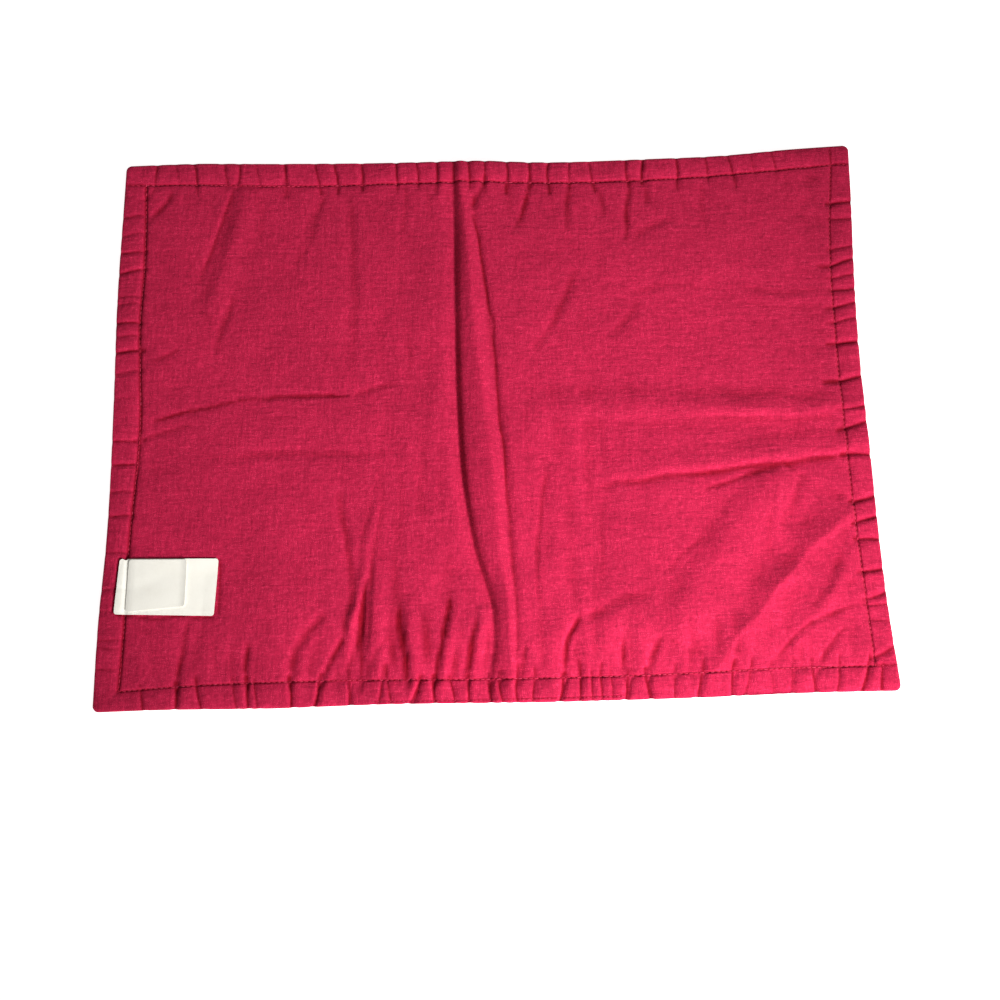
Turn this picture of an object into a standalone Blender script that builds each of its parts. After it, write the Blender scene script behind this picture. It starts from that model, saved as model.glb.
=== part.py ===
"""Fabric placemat lying on its front, so that its back and its sewn-in ribbon label show.

The mat is two layers of cloth sewn together, turned and top-stitched, and it still holds the
sharp centre fold that it was packed with. The script works in metres, with +X to the right
along the long side, +Y away from the front edge and +Z up, and z = 0 is the table under the
mat. The tables below note the cloth in millimetres, from the middle of the mat.
"""

from collections import namedtuple

import bmesh
import bpy
import numpy as np

MM = 0.001

# Driving sizes of the cloth
MAT_LENGTH = 450.0
MAT_DEPTH = 333.0
CLOTH_THICKNESS = 1.6       # two layers with a little air
LEAST_THICKNESS = 1.0       # pressed flat in the stitched lines and the deepest puckers
HEM_THICKNESS = 2.1         # four layers, between the top-stitching and the edge
HEM_RISE = 2.0              # width over which the cloth thickens outside the stitching
MOST_THICKNESS = 2.8        # where the upper layer puffs up; a higher fold lifts both layers
SIDE_WALL = 0.8             # upright part of the turned edge
EDGE_ROUND = 1.3            # how far in the turned edge is rounded
CORNER_RADIUS = 3.5
GROOVE_DEPTH = 0.55         # how deep the top-stitching pulls the cloth in
GROOVE_WIDTH = 1.3
SEAM_OVERRUN = 1.0          # how far a stitched line runs on past the line that it meets
GRID_STEP = 1.5             # spacing of the points that the cloth is shaped on
EDGE_STEPS = (0.0, 0.3, 0.8, 1.5, 2.6)      # distances from the edge of the first points
KEPT_SHARE = 0.034          # share of the triangles that stays once the flat cloth is thinned

# Driving sizes of the ribbon label
RIBBON_THICKNESS = 1.0
RIBBON_GAP = 0.35           # between the mat and the long leaf
LEAF_GAP = 0.3              # between the two leaves
RIBBON_STEP = 3.0
RIBBON_CORNER = 1.5

CLOTH_COLOUR = (0.52, 0.018, 0.062, 1.0)
CLOTH_ROUGHNESS = 0.9
RIBBON_COLOUR = (0.90, 0.86, 0.78, 1.0)
RIBBON_ROUGHNESS = 0.6

# Outline and top-stitching: where each side runs, as (along the side, across it)
TOP_EDGE = ((-222, 165.6), (-188, 166.3), (-125, 164.9), (-63, 163.8), (0, 163.3), (31, 161.8),
            (93, 162.0), (156, 163.6), (187, 166.1), (222, 168.0))
BOTTOM_EDGE = ((-224, -167.5), (-194, -167.1), (-125, -167.7), (-69, -167.0), (29, -167.9),
               (113, -167.4), (169, -166.3), (224, -166.3))
LEFT_EDGE = ((-165, -226.6), (-119, -226.2), (-76, -224.2), (14, -224.2), (70, -225.3),
             (165, -224.0))
RIGHT_EDGE = ((-165, 224.9), (-116, 222.1), (-28, 220.8), (42, 220.4), (98, 222.7), (131, 224.6),
              (166, 226.0))
TOP_STITCH = ((-212, 151.9), (-180, 152.0), (-125, 149.8), (-20, 149.3), (60, 147.4),
              (110, 148.0), (160, 150.5), (214, 155.0))
BOTTOM_STITCH = ((-213, -156.5), (-180, -154.5), (-100, -153.2), (0, -154.4), (100, -154.0),
                 (150, -152.6), (223, -152.0))
LEFT_STITCH = ((-156, -212.8), (-80, -211.0), (0, -207.8), (60, -210.7), (100, -209.8),
               (152, -210.9))
RIGHT_STITCH = ((-152, 211.5), (-60, 208.0), (40, 206.7), (100, 208.5), (155, 214.0))

# The packing fold: the cloth drops into a valley, climbs steeply to a shoulder, goes on to
# the crest, and falls to a second valley. Columns are x positions at each y.
FoldRow = namedtuple("FoldRow", "y valley crest foot height")
CENTRE_FOLD = (
    FoldRow(168, -20.0, -17.0, -11.0, 1.6),
    FoldRow(150, -20.2, -16.8, -9.5, 2.6),
    FoldRow(120, -19.8, -13.5, -6.5, 3.8),
    FoldRow(60, -19.3, -9.0, 0.5, 4.6),
    FoldRow(0, -18.8, -4.0, 5.0, 4.8),
    FoldRow(-40, -16.8, -0.5, 8.0, 4.6),
    FoldRow(-80, -11.0, 1.0, 9.6, 4.4),
    FoldRow(-120, -1.8, 7.2, 11.7, 3.4),
    FoldRow(-152, 1.4, 8.0, 12.0, 1.9),
    FoldRow(-168, 2.6, 7.6, 11.4, 1.2),
)
VALLEY_DEPTH = 0.9
VALLEY_WIDTH = 2.6
FOOT_DEPTH = 0.45
FOOT_WIDTH = 1.6
PUFF_HEIGHT = 0.8           # the left half swells just before it drops into the valley
PUFF_WIDTH = 9.0
PUFF_DROP = 4.0             # from the top of the swell to the valley's line
CLIMB_LEAD = 1.2            # the climb starts this far to the left of the valley's line
STEEPNESS = 3.4             # how much of the climb the steep face takes

# Soft ridges (height above 0) and troughs (below 0). Each runs left to right or top to
# bottom, bent towards its middle point. "near" is its width to the left or below, "far" its
# width to the right or above.
Crease = namedtuple("Crease", "height near far start bend end")
CREASES = (
    # left half, upper part
    Crease(-1.0, 7, 5, (-153, 152), (-156, 130), (-162, 112)),
    Crease(0.9, 8, 8, (-150, 118), (-162, 95), (-172, 66)),
    Crease(-0.7, 6, 4, (-154, 77), (-161, 60), (-165, 42)),
    Crease(-0.6, 6, 4, (-100, 150), (-105, 125), (-118, 96)),
    Crease(-0.6, 10, 5, (-85, 152), (-80, 95), (-82, 25)),
    Crease(-0.6, 4, 4, (-194, 150), (-197, 136), (-212, 122)),
    Crease(-0.5, 4, 4, (-50, 152), (-50, 135), (-52, 116)),
    # left half, the crease that runs across it and the weaker ones below
    Crease(-0.8, 3, 4, (-202, 0), (-145, 14), (-82, 12)),
    Crease(-0.4, 3, 3, (-212, -12), (-195, -8), (-176, -3)),
    Crease(-0.4, 5, 6, (-172, -23), (-120, -21), (-58, -24)),
    Crease(0.7, 22, 22, (-130, -40), (-120, -75), (-135, -110)),
    # lower left, where the bottom seam gathers the cloth
    Crease(-1.0, 4, 3, (-90, -52), (-84, -85), (-84, -116)),
    Crease(1.0, 4, 4, (-67, -45), (-74, -85), (-81, -128)),
    Crease(-1.1, 3, 3, (-77, -98), (-74, -125), (-76, -158)),
    Crease(-0.8, 4, 3, (-174, -118), (-178, -138), (-180, -158)),
    Crease(-0.9, 4, 3, (-140, -130), (-141, -145), (-141, -158)),
    Crease(-1.0, 6, 5, (-96, -114), (-115, -132), (-118, -158)),
    Crease(-0.9, 5, 3, (-80, -128), (-95, -138), (-98, -158)),
    Crease(-1.0, 4, 3, (-55, -118), (-51, -140), (-50, -158)),
    Crease(-1.0, 4, 4, (-27, -110), (-30, -138), (-35, -158)),
    Crease(-0.8, 3, 3, (-12, -124), (-15, -142), (-15, -158)),
    # right half, upper part
    Crease(-0.8, 3, 3, (28, 153), (26, 140), (16, 116)),
    Crease(-0.9, 5, 3, (88, 153), (88, 130), (84, 106)),
    Crease(-0.6, 4, 4, (98, 152), (98, 142), (98, 130)),
    Crease(-0.5, 4, 4, (52, 148), (50, 132), (47, 114)),
    Crease(-0.5, 7, 5, (131, 150), (132, 130), (134, 106)),
    Crease(0.5, 6, 5, (148, 71), (180, 64), (214, 69)),
    # right half, the swell and the step that run out to the right edge
    Crease(1.9, 7, 15, (22, 3), (110, -3), (226, -2)),
    Crease(-1.5, 6, 6, (52, -44), (140, -36), (228, -30)),
    Crease(-0.6, 3, 3, (122, -48), (146, -42), (168, -36)),
    # lower right
    Crease(-1.1, 4, 4, (80, -104), (34, -117), (37, -158)),
    Crease(2.0, 15, 15, (208, -66), (160, -100), (124, -154)),
    Crease(-0.7, 3, 3, (160, -136), (166, -124), (212, -116)),
    Crease(-0.5, 3, 3, (72, -134), (70, -148), (71, -158)),
    Crease(-0.7, 4, 3, (92, -132), (86, -146), (84, -158)),
    Crease(-0.6, 3, 3, (198, -130), (184, -142), (178, -158)),
)

CREASE_START = 0.25         # share of its length over which a crease grows to full height
CREASE_END = 0.35           # and over which it fades away again

# Puckers across the hem: where each one meets the edge and the stitching, how deep it is, and
# how far it runs on past the stitching
Pucker = namedtuple("Pucker", "edge stitch depth tail")
TOP_PUCKERS = (
    Pucker(-205, -206, 0.5, 2), Pucker(-183, -178, 0.8, 6), Pucker(-165, -161, 0.6, 2),
    Pucker(-154, -155, 0.7, 2), Pucker(-127, -124, 0.8, 5), Pucker(-107, -103, 0.6, 4),
    Pucker(-96, -92, 0.8, 6), Pucker(-78, -76, 0.9, 3), Pucker(-56, -55, 0.8, 6),
    Pucker(-43, -42, 0.6, 4), Pucker(-31, -30, 0.9, 7), Pucker(-1, 0, 0.6, 8),
    Pucker(12, 13, 0.8, 6), Pucker(26, 27, 0.9, 2), Pucker(38, 38, 0.8, 6),
    Pucker(52, 52, 0.5, 3), Pucker(64, 67, 0.6, 5), Pucker(86, 87, 0.6, 3),
    Pucker(97, 96, 0.8, 3), Pucker(119, 118, 0.7, 7), Pucker(135, 137, 0.5, 3),
    Pucker(149, 154, 0.7, 9), Pucker(176, 180, 0.4, 4),
)
BOTTOM_PUCKERS = (
    Pucker(-197, -200, 0.5, 2), Pucker(-181, -180, 0.9, 2), Pucker(-164, -169, 0.6, 4),
    Pucker(-139, -141, 0.9, 2), Pucker(-114, -118, 0.9, 2), Pucker(-104, -99, 1.0, 2),
    Pucker(-82, -83, 0.9, 8), Pucker(-70, -64, 0.6, 7), Pucker(-51, -46, 0.8, 3),
    Pucker(-35, -36, 1.0, 2), Pucker(-16, -15, 0.9, 2), Pucker(19, 20, 0.6, 5),
    Pucker(34, 36, 1.1, 2), Pucker(45, 46, 0.7, 8), Pucker(57, 58, 0.5, 6),
    Pucker(70, 73, 1.1, 3), Pucker(85, 83, 1.0, 3), Pucker(98, 100, 0.5, 5),
    Pucker(110, 115, 1.1, 6), Pucker(131, 132, 1.0, 4), Pucker(138, 144, 0.7, 5),
    Pucker(164, 167, 0.6, 4), Pucker(178, 177, 0.9, 3), Pucker(188, 192, 0.6, 6),
    Pucker(201, 208, 0.8, 6),
)
LEFT_PUCKERS = (
    Pucker(108, 109, 0.6, 1), Pucker(93, 97, 0.6, 1), Pucker(61, 62, 0.5, 1),
    Pucker(43, 44, 0.7, 2), Pucker(28, 33, 0.4, 2), Pucker(-12, -11, 0.6, 3),
    Pucker(-26, -25, 0.5, 1), Pucker(-56, -56, 0.4, 1), Pucker(-127, -127, 0.4, 1),
)
RIGHT_PUCKERS = (
    Pucker(129, 128, 0.9, 2), Pucker(120, 118, 0.5, 1), Pucker(93, 87, 0.7, 7),
    Pucker(73, 71, 0.6, 3), Pucker(66, 60, 0.7, 4), Pucker(39, 37, 0.9, 5),
    Pucker(19, 14, 0.9, 9), Pucker(-9, -16, 0.8, 5), Pucker(-54, -59, 0.8, 2),
    Pucker(-66, -72, 0.9, 2), Pucker(-81, -80, 0.6, 1), Pucker(-97, -100, 0.7, 2),
    Pucker(-109, -116, 0.8, 2), Pucker(-140, -148, 0.6, 2),
)
PUCKER_WIDTH = 2.6
PUCKER_LEAD = 5.0           # starts this far outside the edge, so that it is deep there
PUCKER_END = 1.5            # what its fading end adds to its tail

# Ribbon leaves: corners in the order top left, top right, bottom right, bottom left
LONG_LEAF = ((-216.0, -81.2), (-159.7, -82.2), (-161.2, -115.0), (-218.0, -112.8))
SHORT_LEAF = ((-210.6, -81.8), (-177.4, -82.4), (-177.6, -109.2), (-211.4, -111.6))
SHORT_LEAF_CURL = 1.6       # how far its free end stands up
CURL_LENGTH = 7.0


def smooth_curve(rows, at):
    """Value at each place of a soft curve through rows of (place, value)."""
    place, value = np.array(sorted(rows), dtype=float).T
    slope = np.gradient(value, place)
    cell = np.clip(np.searchsorted(place, at) - 1, 0, len(place) - 2)
    width = place[cell + 1] - place[cell]
    t = np.clip((at - place[cell]) / width, 0.0, 1.0)
    rise = t * t * (3 - 2 * t)
    start = t * (1 - t) ** 2 * width * slope[cell]
    end = -t * t * (1 - t) * width * slope[cell + 1]
    return value[cell] * (1 - rise) + value[cell + 1] * rise + start + end


def bent_path(start, bend, end, steps=10):
    """Points of a curve from start to end that leans towards bend."""
    t = np.linspace(0.0, 1.0, steps + 1)[:, None]
    return (1 - t) ** 2 * np.array(start) + 2 * t * (1 - t) * np.array(bend) + t * t * np.array(end)


def soft_profile(distance, width):
    """1 on a crease's line, falling softly to 0 at its width."""
    return 0.5 + 0.5 * np.cos(np.pi * np.clip(distance / width, 0.0, 1.0))


def crease_height(x, y, crease):
    """Height that one crease adds at each point."""
    path = bent_path(crease.start, crease.bend, crease.end)
    best = np.full(x.shape, np.inf)
    side = np.zeros(x.shape)
    along = np.zeros(x.shape)
    for step, (tail, head) in enumerate(zip(path[:-1], path[1:])):
        run = head - tail
        length = np.hypot(*run)
        t = np.clip(((x - tail[0]) * run[0] + (y - tail[1]) * run[1]) / length ** 2, 0.0, 1.0)
        off_x = x - tail[0] - t * run[0]
        off_y = y - tail[1] - t * run[1]
        distance = np.hypot(off_x, off_y)
        nearer = distance < best
        best = np.where(nearer, distance, best)
        side = np.where(nearer, run[0] * off_y - run[1] * off_x, side)
        along = np.where(nearer, (step + t) / (len(path) - 1), along)
    width = np.where(side > 0, crease.far, crease.near)
    fade = np.clip(along / CREASE_START, 0.0, 1.0) * np.clip((1 - along) / CREASE_END, 0.0, 1.0)
    return crease.height * soft_profile(best, width) * np.sqrt(fade)


def hem_creases():
    """The hem's puckers as creases, from outside the edge to past the stitching."""
    sides = (
        (TOP_PUCKERS, TOP_EDGE, TOP_STITCH, True),
        (BOTTOM_PUCKERS, BOTTOM_EDGE, BOTTOM_STITCH, True),
        (LEFT_PUCKERS, LEFT_EDGE, LEFT_STITCH, False),
        (RIGHT_PUCKERS, RIGHT_EDGE, RIGHT_STITCH, False),
    )
    for puckers, edge_rows, stitch_rows, level in sides:
        for pucker in puckers:
            edge = float(smooth_curve(edge_rows, np.array([pucker.edge]))[0])
            stitch = float(smooth_curve(stitch_rows, np.array([pucker.stitch]))[0])
            inward = np.sign(stitch - edge)
            start = np.array((pucker.edge, edge - PUCKER_LEAD * inward))
            middle = np.array((pucker.stitch, stitch))
            end = middle + (pucker.tail + PUCKER_END) * np.array((0.0, inward))
            if not level:
                start, middle, end = start[::-1], middle[::-1], end[::-1]
            yield Crease(-pucker.depth, PUCKER_WIDTH, PUCKER_WIDTH, start, middle, end)


def fold_height(x, y):
    """Height that the packing fold adds, with its two valleys and the puff on its left."""
    columns = {}
    for column in ("valley", "crest", "foot", "height"):
        columns[column] = smooth_curve([(row.y, getattr(row, column)) for row in CENTRE_FOLD], y)
    climb_from = columns["valley"] - CLIMB_LEAD
    climb = np.clip((x - climb_from) / (columns["crest"] - climb_from), 0.0, 1.0)
    drop = np.clip((columns["foot"] - x) / (columns["foot"] - columns["crest"]), 0.0, 1.0)
    left_face = 1 - (1 - climb) ** STEEPNESS
    right_face = 0.5 - 0.5 * np.cos(np.pi * drop)
    height = columns["height"] * np.minimum(left_face, right_face)
    before = columns["valley"] - x
    puff_width = np.where(before > PUFF_DROP, PUFF_WIDTH, PUFF_DROP)
    puff = PUFF_HEIGHT * soft_profile(np.abs(before - PUFF_DROP), puff_width)
    share = columns["height"] / max(row.height for row in CENTRE_FOLD)
    valley = VALLEY_DEPTH * soft_profile(np.abs(before), VALLEY_WIDTH)
    foot = FOOT_DEPTH * soft_profile(np.abs(x - columns["foot"]), FOOT_WIDTH)
    return height + (puff - valley - foot) * share


def seam_distances(x, y):
    """How far each point lies outside (above 0) each of the four stitched lines."""
    return (y - smooth_curve(TOP_STITCH, x), smooth_curve(BOTTOM_STITCH, x) - y,
            smooth_curve(LEFT_STITCH, y) - x, x - smooth_curve(RIGHT_STITCH, y))


def cloth_top(x, y):
    """Height of the mat's upper face away from its outer edge."""
    seams = seam_distances(x, y)
    outside = np.clip(np.maximum.reduce(seams) / HEM_RISE, 0.0, 1.0)
    top = CLOTH_THICKNESS + (HEM_THICKNESS - CLOTH_THICKNESS) * outside
    for crease in (*CREASES, *hem_creases()):
        top = top + crease_height(x, y, crease)
    groove = np.zeros(x.shape)
    for number, seam in enumerate(seams):
        others = [other for place, other in enumerate(seams) if place != number]
        inside = np.maximum.reduce(others) < SEAM_OVERRUN
        groove = np.maximum(groove, soft_profile(np.abs(seam), GROOVE_WIDTH) * inside)
    top = top - GROOVE_DEPTH * groove
    return np.maximum(top, LEAST_THICKNESS) + fold_height(x, y)


def graded_steps(length):
    """Places along a side, closer together at both ends, from 0 to length."""
    lead = np.array(EDGE_STEPS)
    count = int(round((length - 2 * lead[-1]) / GRID_STEP))
    middle = np.linspace(lead[-1], length - lead[-1], count + 1)
    return np.concatenate((lead[:-1], middle, length - lead[-2::-1]))


def outline_grid():
    """Grid of points that fills the mat's outline, and each point's distance to the edge."""
    from_left, from_bottom = np.meshgrid(graded_steps(MAT_LENGTH), graded_steps(MAT_DEPTH), indexing="ij")
    to_side = np.minimum(from_left, MAT_LENGTH - from_left)
    to_end = np.minimum(from_bottom, MAT_DEPTH - from_bottom)
    edge_distance = np.minimum(to_side, to_end)
    # a square corner becomes a round one: its rings are pulled in along the diagonal
    into_x = np.clip(CORNER_RADIUS - to_side, 0.0, None)
    into_y = np.clip(CORNER_RADIUS - to_end, 0.0, None)
    in_corner = (into_x > 0) & (into_y > 0)
    ring = np.maximum(into_x, into_y)
    pull = np.where(in_corner, ring / np.maximum(np.hypot(into_x, into_y), 1e-9), 1.0)
    from_left = from_left + np.sign(MAT_LENGTH / 2 - from_left) * into_x * (1 - pull)
    from_bottom = from_bottom + np.sign(MAT_DEPTH / 2 - from_bottom) * into_y * (1 - pull)
    s = from_left / MAT_LENGTH
    t = from_bottom / MAT_DEPTH
    rough_x = from_left - MAT_LENGTH / 2
    rough_y = from_bottom - MAT_DEPTH / 2
    x = smooth_curve(LEFT_EDGE, rough_y) * (1 - s) + smooth_curve(RIGHT_EDGE, rough_y) * s
    y = smooth_curve(BOTTOM_EDGE, rough_x) * (1 - t) + smooth_curve(TOP_EDGE, rough_x) * t
    return x, y, edge_distance


def box_middle():
    """Middle of the outline's box, which is moved to the origin."""
    x, y, _ = outline_grid()
    return (x.min() + x.max()) / 2, (y.min() + y.max()) / 2


def closed_sheet(name, x, y, top, bottom):
    """Object of one closed sheet between two height grids, in metres on a millimetre grid."""
    across, along = x.shape
    upper = np.arange(x.size).reshape(x.shape)
    lower = upper + x.size
    quads = []
    for i in range(across - 1):
        for j in range(along - 1):
            quads.append((upper[i, j], upper[i + 1, j], upper[i + 1, j + 1], upper[i, j + 1]))
            quads.append((lower[i, j + 1], lower[i + 1, j + 1], lower[i + 1, j], lower[i, j]))
    rim = [(i, 0) for i in range(across)]
    rim += [(across - 1, j) for j in range(1, along)]
    rim += [(i, along - 1) for i in range(across - 2, -1, -1)]
    rim += [(0, j) for j in range(along - 2, 0, -1)]
    for here, there in zip(rim, rim[1:] + rim[:1]):
        quads.append((lower[here], lower[there], upper[there], upper[here]))
    middle_x, middle_y = box_middle()
    faces = [np.stack((x - middle_x, y - middle_y, height), axis=-1) for height in (top, bottom)]
    points = np.concatenate([face.reshape(-1, 3) for face in faces]) * MM
    mesh = bpy.data.meshes.new(name)
    mesh.from_pydata(points.tolist(), [], [tuple(map(int, quad)) for quad in quads])
    mesh.update()
    sheet = bpy.data.objects.new(name, mesh)
    bpy.context.scene.collection.objects.link(sheet)
    return sheet


def cloth_material(name, colour, roughness):
    """Plain matt material of one kind of cloth."""
    material = bpy.data.materials.new(name)
    material.use_nodes = True
    shader = material.node_tree.nodes["Principled BSDF"]
    shader.inputs["Base Color"].default_value = colour
    shader.inputs["Roughness"].default_value = roughness
    shader.inputs["Metallic"].default_value = 0.0
    return material


def build_mat(material):
    """The mat: both layers with their hem, folds, puckers and stitched grooves, as one sheet."""
    x, y, edge_distance = outline_grid()
    full = cloth_top(x, y)
    inward = np.clip(edge_distance / EDGE_ROUND, 0.0, 1.0)
    top = SIDE_WALL + (full - SIDE_WALL) * np.sqrt(1 - (1 - inward) ** 2)
    bottom = np.clip(top - MOST_THICKNESS, 0.0, None)
    mat = closed_sheet("placemat", x, y, top, bottom)
    mat.data.materials.append(material)
    thin = mat.modifiers.new("Fewer faces on flat cloth", "DECIMATE")
    thin.ratio = KEPT_SHARE
    thin.use_collapse_triangulate = True
    return mat


def highest_cloth(x, y):
    """Highest of the mat's upper face near each point, within half a step of a leaf's grid."""
    reach = (-RIBBON_STEP / 2, 0.0, RIBBON_STEP / 2)
    return np.maximum.reduce([cloth_top(x + right, y + away) for right in reach for away in reach])


def leaf_grid(corners):
    """Grid of points inside a leaf's four corners, with its corners slightly rounded."""
    top_left, top_right, bottom_right, bottom_left = np.array(corners)
    width = np.hypot(*(top_right - top_left))
    depth = np.hypot(*(top_left - bottom_left))
    across = np.linspace(0.0, 1.0, int(round(width / RIBBON_STEP)) + 1)
    along = np.linspace(0.0, 1.0, int(round(depth / RIBBON_STEP)) + 1)
    s, t = (grid[..., None] for grid in np.meshgrid(across, along, indexing="ij"))
    lower_edge = bottom_left * (1 - s) + bottom_right * s
    upper_edge = top_left * (1 - s) + top_right * s
    points = lower_edge * (1 - t) + upper_edge * t
    cut = RIBBON_CORNER * (1 - np.sqrt(0.5))
    for i, j in ((0, 0), (0, -1), (-1, 0), (-1, -1)):
        inner = points[1 if i == 0 else -2, 1 if j == 0 else -2]
        points[i, j] += cut * np.sign(inner - points[i, j])
    return points[..., 0], points[..., 1]


def build_label(material):
    """The ribbon label: a long leaf on the mat and a short one on it, its free end curled up."""
    x, y = leaf_grid(LONG_LEAF)
    under = highest_cloth(x, y) + RIBBON_GAP
    long_leaf = closed_sheet("label_long_leaf", x, y, under + RIBBON_THICKNESS, under)
    x, y = leaf_grid(SHORT_LEAF)
    free_end = SHORT_LEAF[1][0]
    curl = SHORT_LEAF_CURL * np.clip(1 - (free_end - x) / CURL_LENGTH, 0.0, 1.0) ** 2
    under = highest_cloth(x, y) + RIBBON_GAP + RIBBON_THICKNESS + LEAF_GAP + curl
    short_leaf = closed_sheet("label_short_leaf", x, y, under + RIBBON_THICKNESS, under)
    for leaf in (long_leaf, short_leaf):
        leaf.data.materials.append(material)
        triangulate(leaf)


def triangulate(sheet):
    """Split a sheet's bent quads into triangles."""
    work = bmesh.new()
    work.from_mesh(sheet.data)
    bmesh.ops.triangulate(work, faces=work.faces)
    work.to_mesh(sheet.data)
    work.free()


def main():
    """Clear the scene and build the mat and its label."""
    for item in list(bpy.data.objects):
        bpy.data.objects.remove(item, do_unlink=True)
    build_mat(cloth_material("crimson plain weave", CLOTH_COLOUR, CLOTH_ROUGHNESS))
    build_label(cloth_material("cream ribbon", RIBBON_COLOUR, RIBBON_ROUGHNESS))


main()
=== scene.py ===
"""Looks of a fabric placemat that lies on its front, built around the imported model.

The mat is two layers of crimson plain-weave cotton, sewn together, turned and top-stitched. It
shows its back: a puckered hem, the fold that it was packed with, soft creases, and a bare
ribbon label that is caught in the left-hand stitching. Tables are in millimetres from the
middle of the mat, with x to the right and y away from the viewer. Meshes are in metres.
"""

from __future__ import annotations

import logging
import sys
from dataclasses import dataclass, field
from enum import Enum
from functools import reduce
from typing import Callable, Iterator, Sequence, Union

import bpy
import numpy as np
from mathutils import Matrix, Vector
from mathutils.geometry import delaunay_2d_cdt


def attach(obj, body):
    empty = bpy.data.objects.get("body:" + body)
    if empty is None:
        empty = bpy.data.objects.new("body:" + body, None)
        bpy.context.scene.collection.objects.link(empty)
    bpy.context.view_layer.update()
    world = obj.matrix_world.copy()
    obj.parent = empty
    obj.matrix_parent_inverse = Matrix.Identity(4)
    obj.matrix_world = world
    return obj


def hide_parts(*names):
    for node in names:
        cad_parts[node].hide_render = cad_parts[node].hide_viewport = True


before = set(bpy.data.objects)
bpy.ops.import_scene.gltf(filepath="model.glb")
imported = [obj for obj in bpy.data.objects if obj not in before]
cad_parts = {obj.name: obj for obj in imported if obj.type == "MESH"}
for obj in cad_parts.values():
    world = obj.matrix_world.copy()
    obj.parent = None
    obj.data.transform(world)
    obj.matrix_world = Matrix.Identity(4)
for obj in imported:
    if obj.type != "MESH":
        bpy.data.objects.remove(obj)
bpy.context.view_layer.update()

MM = 0.001
BODY = "root"
TABLE_MIDDLE = (-0.36, 0.02)    # middle of the mat's outline box in the tables, the CAD's origin
ROUNDS = 6                      # rounds after which two crossing sets of curves agree
LOG = logging.getLogger("placemat")

Point = tuple[float, float]
Triple = tuple[float, float, float]
Rows = tuple[Point, ...]
Colour = tuple[float, ...]
Arrays = tuple[np.ndarray, ...]
Socket = bpy.types.NodeSocket
Feed = Union[Socket, float, str, Sequence[float]]


# ---- Shapes of the cloth --------------------

@dataclass(frozen=True)
class SoftCurve:
    """A soft curve through rows of (place, value)."""

    rows: Rows

    def at(self, place: np.ndarray) -> np.ndarray:
        """Find the curve's value at each place.

        Args:
            place: Places along the curve.

        Returns:
            The values there.
        """
        knot, value = np.array(sorted(self.rows), dtype=float).T
        slope = np.gradient(value, knot)
        cell = np.clip(np.searchsorted(knot, place) - 1, 0, len(knot) - 2)
        width = knot[cell + 1] - knot[cell]
        t = np.clip((place - knot[cell]) / width, 0.0, 1.0)
        rise = t * t * (3 - 2 * t)
        lead = t * (1 - t) ** 2 * width * slope[cell]
        trail = -t * t * (1 - t) * width * slope[cell + 1]
        return value[cell] * (1 - rise) + value[cell + 1] * rise + lead + trail

    def value(self, place: float) -> float:
        """Return the curve's value at one place."""
        return float(self.at(np.array([place]))[0])


class Fall(Enum):
    """How a crease falls away from its line: over a soft shoulder, or as a pinched line."""

    SOFT = "soft"
    PINCHED = "pinched"

    def share(self, distance: np.ndarray, width: np.ndarray | float) -> np.ndarray:
        """Find how much of a crease's height is left.

        Args:
            distance: Distance from the crease's line.
            width: Distance at which nothing is left.

        Returns:
            1 on the line, 0 at the width and beyond.
        """
        near = 1.0 - np.clip(distance / width, 0.0, 1.0)
        if self is Fall.PINCHED:
            return near ** 2
        return 0.5 - 0.5 * np.cos(np.pi * near)


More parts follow.
